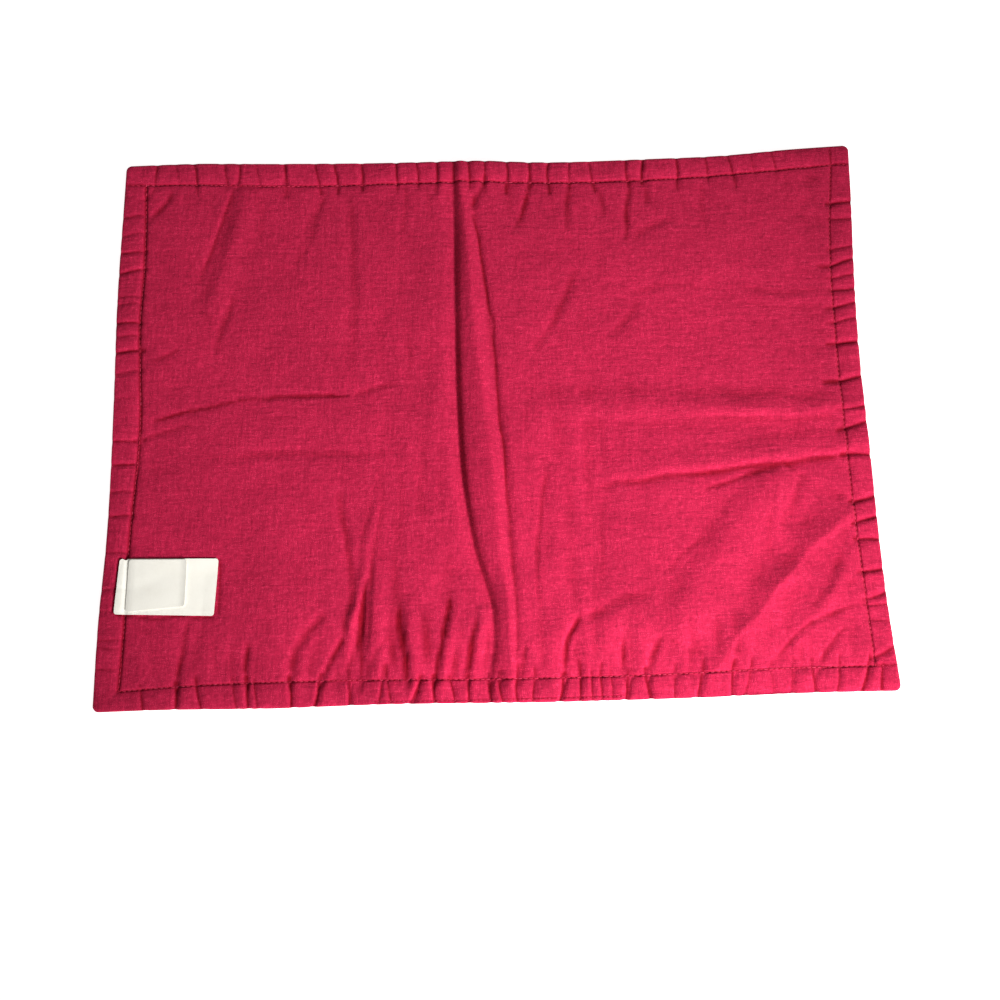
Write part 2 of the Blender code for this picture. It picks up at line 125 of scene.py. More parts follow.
@dataclass(frozen=True)
class Crease:
    """A ridge (height above 0) or trough (below 0) along a line that bends towards a point.

    It runs left to right or top to bottom. near is its width to the left or below, and far its
    width to the right or above.
    """

    height: float
    near: float
    far: float
    start: Point
    bend: Point
    end: Point
    fall: Fall = Fall.SOFT
    grows_over: float = 0.25
    fades_over: float = 0.35
    steps: int = 10
    pinched_from: float = 0.6       # a trough of this depth for each mm of width is fully pinched, and gets full painted shade
    least_pinch: float = 0.2
    # width of the painted shade line along a pinched trough
    shade_line_width: float = 1.3

    def path(self) -> np.ndarray:
        """Find the crease's line.

        Returns:
            Its points, with a last axis of two.
        """
        t = np.linspace(0.0, 1.0, self.steps + 1)[:, None]
        start, bend, end = np.array((self.start, self.bend, self.end), dtype=float)
        return (1 - t) ** 2 * start + 2 * t * (1 - t) * bend + t * t * end

    def shape(self, height: np.ndarray, x: np.ndarray, y: np.ndarray) -> None:
        """Add the crease to a list of heights.

        Args:
            height: Heights of the points, changed in place.
            x: The points' places along x.
            y: The points' places along y.
        """
        inside, distance, width, strength = self._reached(x, y)
        height[inside] += self.height * self.fall.share(distance, width) * strength

    def mark(self, painted_shade: np.ndarray, x: np.ndarray, y: np.ndarray) -> None:
        """Paint shade along the line of a trough, as far as it is pinched.

        Args:
            painted_shade: Painted shade of the points, changed in place.
            x: The points' places along x.
            y: The points' places along y.
        """
        pinch = min(-self.height / (self.pinched_from * min(self.near, self.far)), 1.0)
        if pinch > self.least_pinch:
            inside, distance, _, strength = self._reached(x, y)
            line = pinch * Fall.SOFT.share(distance, self.shade_line_width) * strength
            painted_shade[inside] = np.maximum(painted_shade[inside], line)

    def _reached(self, x: np.ndarray, y: np.ndarray) -> Arrays:
        """Find the points that the crease reaches.

        Args:
            x: The points' places along x.
            y: The points' places along y.

        Returns:
            Their numbers, their distances from its line, its width on their side, and its
            strength there.
        """
        path = self.path()
        reach = max(self.near, self.far)
        low, high = path.min(axis=0) - reach, path.max(axis=0) + reach
        inside = np.flatnonzero((x > low[0]) & (x < high[0]) & (y > low[1]) & (y < high[1]))
        px, py = x[inside], y[inside]
        best, side, along = np.full(px.shape, np.inf), np.zeros(px.shape), np.zeros(px.shape)
        for step, (tail, head) in enumerate(zip(path[:-1], path[1:])):
            run = head - tail
            t = np.clip(((px - tail[0]) * run[0] + (py - tail[1]) * run[1]) / (run @ run), 0.0, 1.0)
            off_x, off_y = px - tail[0] - t * run[0], py - tail[1] - t * run[1]
            distance = np.hypot(off_x, off_y)
            nearer = distance < best
            best = np.where(nearer, distance, best)
            side = np.where(nearer, run[0] * off_y - run[1] * off_x, side)
            along = np.where(nearer, (step + t) / self.steps, along)
        width = np.where(side > 0, self.far, self.near)
        grown = np.clip(along / self.grows_over, 0.0, 1.0)
        left = np.clip((1 - along) / self.fades_over, 0.0, 1.0)
        return inside, best, width, np.sqrt(grown * left)


@dataclass(frozen=True)
class Unevenness:
    """Slight random rise and fall of the cloth, in cells of a given size, over a soft region."""

    height: float
    cell: Point
    seed: int
    middle: Point = (0.0, 0.0)
    reach: Point = (1e6, 1e6)
    span: float = 260.0             # the cells cover the cloth this far from its middle

    def at(self, x: np.ndarray, y: np.ndarray) -> np.ndarray:
        """Find the rise of the cloth.

        Args:
            x: Places along x.
            y: Places along y.

        Returns:
            The rise at each point.
        """
        near = range(4)             # a point is blended from four lattice points each way
        counts = [int(2 * self.span / size) + len(near) for size in self.cell]
        lattice = np.random.default_rng(self.seed).uniform(-1.0, 1.0, counts)
        spots = [(np.clip(place, -self.span, self.span) + self.span) / size
                 for place, size in zip((x, y), self.cell)]
        cells = [spot.astype(int) for spot in spots]
        weights = [self._weights(spot - cell) for spot, cell in zip(spots, cells)]
        total = np.zeros(x.shape)
        for right in near:
            for away in near:
                corner = lattice[cells[0] + right, cells[1] + away]
                total += weights[0][right] * weights[1][away] * corner
        far = np.hypot((x - self.middle[0]) / self.reach[0], (y - self.middle[1]) / self.reach[1])
        return self.height * total * Fall.SOFT.share(far, 1.0)

    @staticmethod
    def _weights(t: np.ndarray) -> Arrays:
        """Return the four weights of a smooth blend between lattice points."""
        return ((1 - t) ** 3 / 6, (3 * t ** 3 - 6 * t ** 2 + 4) / 6,
                (-3 * t ** 3 + 3 * t ** 2 + 3 * t + 1) / 6, t ** 3 / 6)


@dataclass(frozen=True)
class Pucker:
    """A pinch across the hem: where it meets the edge and the stitching, its depth and its tail."""

    edge: float
    stitch: float
    depth: float
    tail: float


class Side(Enum):
    """A side of the mat: whether it runs along x, and the direction of its outside."""

    BOTTOM = (True, -1.0)
    RIGHT = (False, 1.0)
    TOP = (True, 1.0)
    LEFT = (False, -1.0)

    @property
    def level(self) -> bool:
        """Whether the side runs along x."""
        return self.value[0]

    @property
    def outward(self) -> float:
        """Direction of the outside, across the side."""
        return self.value[1]

    def split(self, x: np.ndarray, y: np.ndarray) -> Arrays:
        """Return the places along and across the side."""
        return (x, y) if self.level else (y, x)


class HemLine(Enum):
    """A line that runs along a side of the hem."""

    EDGE = "edge"
    STITCH = "stitch"


@dataclass(frozen=True)
class SewnLine:
    """A row of stitches along a curve, and how it draws the cloth in."""

    side: Side
    line: SoftCurve
    reach: Point                    # where the row starts and ends
    groove_depth: float = 0.5
    groove_width: float = 1.0
    painted_groove_shade: float = 0.0         # painted shade in the groove all along, where its thread lies deep
    dip_depth: float = 0.3
    dip_width: float = 5.0
    end_fade: float = 2.0           # the row pulls less over this length at its ends
    pitch: float = 3.0
    slope_share: float = 0.35       # a stitch takes its slope over this share of the pitch each way
    lean: float = 0.5               # how far a stitch follows the cloth's slopes, which it bridges
    hidden: Rows = ()               # stretches that nothing shows of

    def outside(self, x: np.ndarray, y: np.ndarray) -> np.ndarray:
        """Return how far each point lies outside the row."""
        along, across = self.side.split(x, y)
        return (across - self.line.at(along)) * self.side.outward

    def sewn(self, x: np.ndarray, y: np.ndarray) -> np.ndarray:
        """Return 1 along the row and 0 past its ends."""
        along, (start, end) = self.side.split(x, y)[0], self.reach
        return np.clip(np.minimum(along - start, end - along) / self.end_fade, 0.0, 1.0)

    def grip(self, x: np.ndarray, y: np.ndarray) -> np.ndarray:
        """Return 1 in the groove of the stitches, falling to 0 beside it."""
        return self.sewn(x, y) * Fall.SOFT.share(np.abs(self.outside(x, y)), self.groove_width)

    def stitch_count(self, x: np.ndarray, y: np.ndarray) -> np.ndarray:
        """Return how many stitches along the row each point lies."""
        return (self.side.split(x, y)[0] - self.reach[0]) / self.pitch

    def pull(self, x: np.ndarray, y: np.ndarray) -> np.ndarray:
        """Return how deep the row draws each point in."""
        dip = self.sewn(x, y) * Fall.PINCHED.share(np.abs(self.outside(x, y)), self.dip_width)
        return self.groove_depth * self.grip(x, y) + self.dip_depth * dip

    def stitches(self, top: Callable[[np.ndarray, np.ndarray], np.ndarray], lift: float) -> Arrays:
        """Find the middle and the direction of each stitch.

        Args:
            top: Finds the height of the cloth.
            lift: Height of a stitch's middle above the cloth.

        Returns:
            Middles and directions, each with a last axis of three.
        """
        along = np.arange(self.reach[0] + self.pitch / 2, self.reach[1], self.pitch)
        for start, end in self.hidden:
            along = along[(along < start) | (along > end)]
        ends = []
        for share in (-self.slope_share, 0.0, self.slope_share):
            spot = along + share * self.pitch
            x, y = self.side.split(spot, self.line.at(spot))
            ends.append(np.stack((x, y, top(x, y)), axis=-1))
        middle = ends[1] + np.array((0.0, 0.0, lift))
        return middle, (ends[2] - ends[0]) * np.array((1.0, 1.0, self.lean))


@dataclass(frozen=True)
class HemSide:
    """One side of the turned hem: its edge, its row of top-stitching and its puckers."""

    side: Side
    edge: SoftCurve
    seam: SewnLine
    puckers: tuple[Pucker, ...]
    pucker_widths: Point = (4.6, 2.8)   # on the left of or below the pucker, and on its other side
    pucker_gain: float = 1.6
    pucker_lead: float = 5.0            # a pucker starts this far outside the edge
    pucker_end: float = 2.0
    scallop: float = 0.32               # how far a pucker of full depth draws the edge in
    scallop_width: float = 3.2

    @property
    def stitch(self) -> SoftCurve:
        """The curve of the top-stitching."""
        return self.seam.line

    def line(self, which: HemLine) -> SoftCurve:
        """Return the curve of one of the side's lines."""
        return self.edge if which is HemLine.EDGE else self.stitch

    def drawn_edge(self, along: np.ndarray) -> np.ndarray:
        """Find the edge, drawn in where the hem is puckered.

        Args:
            along: Places along the side.

        Returns:
            The edge's places across the side.
        """
        across = self.edge.at(along)
        for pucker in self.puckers:
            pull = Fall.SOFT.share(np.abs(along - pucker.edge), self.scallop_width)
            across = across - self.side.outward * self.scallop * pucker.depth * pull
        return across

    def creases(self) -> Iterator[Crease]:
        """Make the puckers' creases, from outside the edge to past the stitching.

        Yields:
            The creases.
        """
        for pucker in self.puckers:
            edge, stitch = self.edge.value(pucker.edge), self.stitch.value(pucker.stitch)
            inward = -self.side.outward
            ends = ((pucker.edge, edge - self.pucker_lead * inward), (pucker.stitch, stitch),
                    (pucker.stitch, stitch + (pucker.tail + self.pucker_end) * inward))
            start, middle, end = (self.side.split(*point) for point in ends)
            depth = self.pucker_gain * pucker.depth
            # pinched troughs, which also get painted shade along their lines
            yield Crease(-depth, *self.pucker_widths, start, middle, end, Fall.PINCHED)


@dataclass(frozen=True)
class CentreFold:
    """The packing fold: a valley, a steep face, a shoulder up to the crest, and a fall to the foot.

    Its rows hold y, the x of the valley, crest and foot, and the heights of the crest and of the
    lip on the left of the valley. The cloth turns at each of these lines, with a rounded bend.
    """

    rows: tuple[tuple[float, ...], ...] = (
        (168, -20.0, -17.0, -10.8, 1.5, 0.2), (150, -20.2, -16.6, -9.4, 2.5, 0.3),
        (120, -20.2, -13.8, -6.8, 3.8, 0.4), (60, -20.4, -10.0, -0.2, 4.6, 0.5),
        (0, -19.9, -4.2, 4.6, 4.8, 1.0), (-40, -17.7, 0.5, 7.8, 4.7, 1.2),
        (-80, -11.4, 2.8, 9.2, 4.4, 1.2), (-118, -1.8, 7.2, 11.6, 3.5, 1.0),
        (-135, -1.6, 7.6, 11.4, 2.7, 0.7), (-152, -4.4, 7.6, 10.6, 1.9, 0.4),
        (-168, -6.0, 7.0, 10.4, 1.2, 0.2))
    lead: float = 30.0              # the rise to the lip starts this far left of the valley
    lead_radius: float = 10.0
    lip_place: float = 6.0
    lip_radius: float = 2.6
    valley_depth: float = 0.25      # share of the crest's height
    valley_radius: float = 0.5
    brow_place: float = 3.2
    brow_limit: float = 0.5         # at most this share of the way from the valley to the crest
    brow_height: float = 0.52       # share of the crest's height
    brow_radius: float = 1.6
    crest_radius: float = 1.3
    foot_height: float = 0.29       # share of the crest's height
    foot_radius: float = 0.6
    toe_place: float = 3.2
    toe_height: float = 0.54        # share of the crest's height
    toe_radius: float = 1.2
    trail: float = 46.0             # the cloth is flat again this far right of the foot
    trail_radius: float = 12.0
    slack_cell: Point = (0.5, 4.0)  # the grid on which the length that the fold takes up is found
    slack_x: Point = (-55.0, 70.0)
    slack_y: Point = (-172.0, 173.0)

    def _column(self, number: int, y: np.ndarray) -> np.ndarray:
        """Return one column of the rows at each y."""
        return SoftCurve(tuple((row[0], row[number]) for row in self.rows)).at(y)

    def valley(self, y: np.ndarray) -> np.ndarray:
        """Return the valley's x at each y."""
        return self._column(1, y)

    def crest(self, y: np.ndarray) -> np.ndarray:
        """Return the crest's x at each y."""
        return self._column(2, y)

    def foot(self, y: np.ndarray) -> np.ndarray:
        """Return the foot's x at each y."""
        return self._column(3, y)

    def height(self, x: np.ndarray, y: np.ndarray) -> np.ndarray:
        """Find the height that the fold adds.

        Args:
            x: Places along x.
            y: Places along y.

        Returns:
            The added height at each point.
        """
        valley, crest, foot, high, lip = (self._column(number, y) for number in range(1, 6))
        brow = valley + np.minimum(self.brow_place, self.brow_limit * (crest - valley))
        bends = (
            (valley - self.lead, 0.0, self.lead_radius),
            (valley - self.lip_place, lip, self.lip_radius),
            (valley, -self.valley_depth * high, self.valley_radius),
            (brow, self.brow_height * high, self.brow_radius),
            (crest, high, self.crest_radius),
            (foot, self.foot_height * high, self.foot_radius),
            (foot + self.toe_place, self.toe_height * high, self.toe_radius),
            (foot + self.trail, 0.0, self.trail_radius),
        )
        height, slope_before = np.zeros(x.shape), 0.0
        for (place, level, radius), following in zip(bends, (*bends[1:], None)):
            slope = 0.0 if following is None else (following[1] - level) / (following[0] - place)
            off = x - place
            turned = 0.5 * (off + np.sqrt(off * off + radius * radius))
            height = height + (slope - slope_before) * turned
            slope_before = slope
        return height

    def slack(self, x: np.ndarray, y: np.ndarray) -> np.ndarray:
        """Find how much longer the cloth is than its plan, from its left side to each point.

        Args:
            x: The points' places along x.
            y: The points' places along y.

        Returns:
            The length that the fold takes up to the left of each point.
        """
        step, row = self.slack_cell
        across, away = np.arange(*self.slack_x, step), np.arange(*self.slack_y, row)
        rise = np.diff(self.height(*np.meshgrid(across, away, indexing="ij")), axis=0)
        taken = np.cumsum(np.hypot(step, rise) - step, axis=0)
        taken = np.vstack((np.zeros((1, len(away))), taken))
        # a spot stays just inside the last line of the grid
        spot_x = np.clip((x - across[0]) / step, 0, len(across) - 1.001)
        spot_y = np.clip((y - away[0]) / row, 0, len(away) - 1.001)
        i, j = spot_x.astype(int), spot_y.astype(int)
        s, t = spot_x - i, spot_y - j
        near, far = (taken[i, k] * (1 - s) + taken[i + 1, k] * s for k in (j, j + 1))
        return near * (1 - t) + far * t


@dataclass(frozen=True)
class ClothSurface:
    """The upper face of the cloth: its thickness, seams, fold, creases and unevenness."""

    sides: dict[Side, HemSide]
    closing: SewnLine
    fold: CentreFold
    creases: tuple[Crease, ...]
    unevenness: tuple[Unevenness, ...]
    thickness: float = 2.0
    least_thickness: float = 0.55
    hem_width: float = 13.5
    hem_puff: float = 0.5           # how far the hem's layers stand up between seam and edge
    wander: tuple[Unevenness, ...] = (Unevenness(2.0, (9, 9), 23), Unevenness(2.0, (9, 9), 29))
    vigour: Unevenness = Unevenness(0.5, (13, 13), 31)  # how much stronger or weaker creases are

    @property
    def seams(self) -> tuple[SewnLine, ...]:
        """All rows of stitches."""
        return (*(side.seam for side in self.sides.values()), self.closing)

    def top(self, x: np.ndarray, y: np.ndarray) -> np.ndarray:
        """Find the height of the cloth's upper face.

        Args:
            x: Places along x.
            y: Places along y.

        Returns:
            The height above the table at each point.
        """
        shape = x.shape
        x, y = x.ravel(), y.ravel()
        outside = np.maximum.reduce([side.seam.outside(x, y) for side in self.sides.values()])
        puffed = np.sin(np.pi * np.clip(outside / self.hem_width, 0.0, 1.0))
        height = self.thickness + self.hem_puff * puffed
        relief, bent = np.zeros(x.shape), self._bent(x, y)
        for crease in self._all_creases():
            crease.shape(relief, *bent)
        height += relief * (1 + self.vigour.at(x, y))
        for layer in self.unevenness:
            height += layer.at(x, y)
        height -= np.maximum.reduce([seam.pull(x, y) for seam in self.seams])
        return (np.maximum(height, self.least_thickness) + self.fold.height(x, y)).reshape(shape)

    def pinched(self, x: np.ndarray, y: np.ndarray) -> np.ndarray:
        """Find the shade that is painted along pinched creases and in the seams' grooves.

        Args:
            x: Places along x.
            y: Places along y.

        Returns:
            1 where the painted shade is darkest, falling to 0 beside it.
        """
        shape = x.shape
        x, y = x.ravel(), y.ravel()
        painted_shade, bent = np.zeros(x.shape), self._bent(x, y)
        for crease in self._all_creases():
            crease.mark(painted_shade, *bent)
        for seam in self.seams:
            # painted shade in each seam's groove
            painted_shade = np.maximum(painted_shade, seam.painted_groove_shade * seam.grip(x, y))
        return painted_shade.reshape(shape)

    def sewing(self, x: np.ndarray, y: np.ndarray) -> np.ndarray:
        """Find how stitches grip the cloth, and how far along their row, for the painted shade of
        the seams.

        Args:
            x: Places along x.
            y: Places along y.

        Returns:
            The grip, from 0 to 1, and the count of stitches in the nearest row, with a last axis
            of two.
        """
        grip = np.maximum.reduce([seam.grip(x, y) for seam in self.seams])
        nearest = np.argmin([np.abs(seam.outside(x, y)) for seam in self.seams], axis=0)
        count = np.choose(nearest, [seam.stitch_count(x, y) for seam in self.seams])
        return np.stack((grip, count), axis=-1)

    def _all_creases(self) -> Iterator[Crease]:
        """Go through the creases and the hem's puckers.

        Yields:
            The creases.
        """
        yield from self.creases
        for side in self.sides.values():
            yield from side.creases()

    def _bent(self, x: np.ndarray, y: np.ndarray) -> Arrays:
        """Return the points shifted a little, so that the creases' lines are uneven."""
        return x + self.wander[0].at(x, y), y + self.wander[1].at(x, y)

    def corner(self, level: Side, upright: Side, which: HemLine) -> Point:
        """Find where the edges or the stitched lines of two sides cross.

        Args:
            level: The top or bottom side.
            upright: The left or right side.
            which: The line that is meant on both.

        Returns:
            The crossing, as (x, y).
        """
        x, y = 0.0, 0.0
        for _ in range(ROUNDS):
            x = self.sides[upright].line(which).value(y)
            y = self.sides[level].line(which).value(x)
        return x, y


# ---- Mesh making --------------------

def placed(name: str, data: bpy.types.ID) -> bpy.types.Object:
    """Put a mesh, a lamp or a camera in the scene.

    Args:
        name: The object's name.
        data: The mesh, lamp or camera.

    Returns:
        The object.
    """
    item = bpy.data.objects.new(name, data)
    bpy.context.scene.collection.objects.link(item)
    return item


def smooth(mesh: bpy.types.Mesh) -> None:
    """Shade a mesh smoothly."""
    mesh.polygons.foreach_set("use_smooth", np.ones(len(mesh.polygons), bool))


def in_scene(points: np.ndarray) -> list[list[float]]:
    """Return points of the tables, in millimetres, as points of the scene, in metres."""
    return ((points - np.array((*TABLE_MIDDLE, 0.0))) * MM).tolist()


def rim_of(grid: np.ndarray) -> np.ndarray:
    """Return the outermost entries of a grid, in order round it."""
    return np.concatenate((grid[:, 0], grid[-1, 1:], grid[-2::-1, -1], grid[0, -2:0:-1]))


def rim_mask(shape: tuple[int, ...]) -> np.ndarray:
    """Return a grid that is true in its outermost entries alone."""
    return np.pad(np.zeros((shape[0] - 2, shape[1] - 2), bool), 1, constant_values=True)


@dataclass
class SheetMesh:
    """Points and faces of one piece while it is put together, in millimetres."""

    name: str
    points: list[np.ndarray] = field(default_factory=list)
    places: list[np.ndarray] = field(default_factory=list)      # cloth coordinates of the points
    # painted shade of each point, read by the finish
    painted_shades: list[np.ndarray] = field(default_factory=list)
    sewings: list[np.ndarray] = field(default_factory=list)
    borders: list[np.ndarray] = field(default_factory=list)
    faces: list[tuple[int, ...]] = field(default_factory=list)
    count: int = 0

    def add_points(self, x: np.ndarray, y: np.ndarray, z: np.ndarray, place: np.ndarray,
                   painted_shade: np.ndarray | None = None, sewing: np.ndarray | None = None,
                   border: np.ndarray | None = None) -> np.ndarray:
        """Add points and return their numbers, in the shape of x.

        Args:
            x: Places along x.
            y: Places along y.
            z: Heights.
            place: Cloth coordinates, with a last axis of two.
            painted_shade: Painted shade of each point, for dips, pinched creases and seam grooves.
            sewing: Grip and count of the stitches, with a last axis of two.
            border: Whether each point lies on a sharp border.

        Returns:
            The numbers of the points.
        """
        self.points.append(np.stack((x, y, z), axis=-1).reshape(-1, 3))
        self.places.append(place.reshape(-1, 2))
        self.painted_shades.append((np.zeros(x.shape) if painted_shade is None else painted_shade).ravel())
        self.sewings.append((np.zeros((*x.shape, 2)) if sewing is None else sewing).reshape(-1, 2))
        self.borders.append((np.zeros(x.shape, bool) if border is None else border).ravel())
        numbers = np.arange(self.count, self.count + x.size).reshape(x.shape)
        self.count += x.size
        return numbers

    def add_grid(self, numbers: np.ndarray) -> None:
        """Add the quads of a grid whose first axis runs to the right of its second from outside."""
        corners = (numbers[:-1, :-1], numbers[1:, :-1], numbers[1:, 1:], numbers[:-1, 1:])
        self.faces.extend(map(tuple, np.stack(corners, axis=-1).reshape(-1, 4).tolist()))

    def add_wall(self, lower: np.ndarray, upper: np.ndarray) -> None:
        """Add the quads between two rims, anticlockwise from above."""
        wall = np.stack((lower, upper), axis=-1)
        self.add_grid(np.vstack((wall, wall[:1])))

    def make(self, finish: bpy.types.Material) -> bpy.types.Object:
        """Make the object, with its cloth coordinates and the marks that its finish reads.

        Args:
            finish: The material.

        Returns:
            The object.
        """
        mesh = bpy.data.meshes.new(self.name)
        mesh.from_pydata(in_scene(np.concatenate(self.points)), [], self.faces)
        mesh.update()
        smooth(mesh)
        loops = np.empty(len(mesh.loops), np.int32)
        mesh.loops.foreach_get("vertex_index", loops)
        places = (np.concatenate(self.places) * MM)[loops].ravel().astype(np.float32)
        mesh.uv_layers.new(name="cloth_place").data.foreach_set("uv", places)
        ends = np.empty(len(mesh.edges) * 2, np.int32)
        mesh.edges.foreach_get("vertices", ends)
        border = np.concatenate(self.borders)[ends.reshape(-1, 2)].all(axis=1)
        grip, count = np.concatenate(self.sewings).T
        # the painted shade, the stitches' grip and count along their rows, and the sharp edges
        marks = (("painted_shade", "FLOAT", "POINT", np.concatenate(self.painted_shades).astype(np.float32)),
                 ("grip", "FLOAT", "POINT", grip.astype(np.float32)),
                 ("stitch_count", "FLOAT", "POINT", count.astype(np.float32)),
                 ("sharp_edge", "BOOLEAN", "EDGE", border))
        for name, kind, domain, values in marks:
            mesh.attributes.new(name, kind, domain).data.foreach_set("value", values)
        mesh.materials.append(finish)
        mesh.validate()
        return placed(self.name, mesh)


def laid_out(anchors: Sequence[np.ndarray], counts: Sequence[int], axis: int) -> np.ndarray:
    """Lay out grid lines between anchor lines.

    Args:
        anchors: For each anchor line, its place at every grid point.
        counts: How many grid lines each anchor line is from the one before it.
        axis: The grid axis that counts the lines.

    Returns:
        The place of each grid point.
    """
    segment = [0] + [number for number, count in enumerate(counts) for _ in range(count)]
    share = np.concatenate([[0.0]] + [np.arange(1, count + 1) / count for count in counts])
    place = np.empty(anchors[0].shape)
    lines = np.moveaxis(place, axis, 0)
    edges = [np.moveaxis(anchor, axis, 0) for anchor in anchors]
    for line, (here, part) in enumerate(zip(segment, share)):
        lines[line] = edges[here][line] * (1 - part) + edges[here + 1][line] * part
    return place


def blurred(height: np.ndarray, radii: tuple[int, int], wraps: bool) -> np.ndarray:
    """Average a grid of heights over its neighbours.

    Args:
        height: The grid.
        radii: How many neighbours count along each axis.
        wraps: Whether the first axis runs round in a ring.

    Returns:
        The averaged grid.
    """
    for axis, radius in enumerate(radii):
        kernel = np.hanning(2 * radius + 3)[1:-1]
        kernel = kernel / kernel.sum()
        margins = [(radius, radius) if number == axis else (0, 0) for number in (0, 1)]
        padded = np.pad(height, margins, mode="wrap" if wraps and axis == 0 else "edge")
        size = height.shape[axis]
        height = sum(weight * np.take(padded, np.arange(size) + start, axis=axis)
                     for start, weight in enumerate(kernel))
    return height


# ---- Node wiring --------------------

@dataclass
class Wiring:
    """Adds nodes to a node tree and joins them."""

    tree: bpy.types.NodeTree

    def node(self, kind: str, given: Sequence[Feed] | dict[str | int, Feed] = (),
             **settings: object) -> bpy.types.Node:
        """Add a node.

        Args:
            kind: Its type.
            given: What its sockets get, in order or by name or number.
            **settings: Its other settings.

        Returns:
            The node.
        """
        node = self.tree.nodes.new(kind)
        for name, value in settings.items():
            setattr(node, name, value)
        named = given if isinstance(given, dict) else dict(enumerate(given))
        for socket, value in named.items():
            self.feed(node.inputs[socket], value)
        return node

    def feed(self, socket: Socket, value: Feed) -> None:
        """Give a socket a value or a link.

        Args:
            socket: The socket.
            value: The value, or the output that is linked to it.
        """
        if isinstance(value, bpy.types.NodeSocket):
            self.tree.links.new(value, socket)
        else:
            socket.default_value = value

    def math(self, operation: str, *values: Feed) -> Socket:
        """Add a math node and return its output."""
        return self.node("ShaderNodeMath", values, operation=operation).outputs[0]

    def product(self, *factors: Feed) -> Socket:
        """Multiply numbers one after another."""
        return reduce(lambda first, second: self.math("MULTIPLY", first, second), factors)

    def vector(self, operation: str, *values: Feed) -> Socket:
        """Add a vector math node and return its output."""
        return self.node("ShaderNodeVectorMath", values, operation=operation).outputs[0]

    def scaled(self, vector: Feed, factor: Feed) -> Socket:
        """Multiply a vector or a colour by a number."""
        given = {0: vector, "Scale": factor}
        return self.node("ShaderNodeVectorMath", given, operation="SCALE").outputs[0]

    def combine(self, x: Feed, y: Feed, z: Feed = 0.0) -> Socket:
        """Join three numbers into a vector."""
        return self.node("ShaderNodeCombineXYZ", (x, y, z)).outputs[0]

    def split(self, vector: Socket) -> tuple[Socket, Socket]:
        """Return the x and y of a vector."""
        parts = self.node("ShaderNodeSeparateXYZ", (vector,)).outputs
        return parts[0], parts[1]

    def noise(self, vector: Socket, scale: float, detail: float = 2.0, roughness: float = 0.5,
              output: int = 0) -> Socket:
        """Return flat noise over a vector: its value, about 0.5, or as output 1 its colour."""
        given = {"Vector": vector, "Scale": scale, "Detail": detail, "Roughness": roughness}
        return self.node("ShaderNodeTexNoise", given, noise_dimensions="2D").outputs[output]

    def between(self, value: Feed, source: Point, result: Point = (0.0, 1.0)) -> Socket:
        """Stretch a range of values to another, without going beyond it."""
        return self.node("ShaderNodeMapRange", (value, *source, *result)).outputs[0]

    def blend(self, share: Feed, first: Feed, second: Feed) -> Socket:
        """Blend two colours."""
        given = {0: share, 6: first, 7: second}
        return self.node("ShaderNodeMix", given, data_type="RGBA").outputs[2]

    def choose(self, share: Feed, first: Feed, second: Feed) -> Socket:
        """Blend two numbers."""
        given = {0: share, 2: first, 3: second}
        return self.node("ShaderNodeMix", given, data_type="FLOAT").outputs[0]

    def bump(self, height: Socket, distance: float, strength: float = 1.0,
             under: Socket | None = None) -> Socket:
        """Add a bump.

        Args:
            height: Its height, from about 0 to 1.
            distance: What a height of 1 stands for, in metres.
            strength: How much of it shows.
            under: The normal that it lies on.

        Returns:
            The normal.
        """
        given = {"Height": height, "Distance": distance, "Strength": strength}
        if under is not None:
            given["Normal"] = under
        return self.node("ShaderNodeBump", given).outputs[0]

    def cloth_place(self) -> Socket:
        """Return the place on the cloth, in millimetres."""
        return self.scaled(self.node("ShaderNodeUVMap", uv_map="cloth_place").outputs[0], 1 / MM)


# ---- Sub-assemblies --------------------

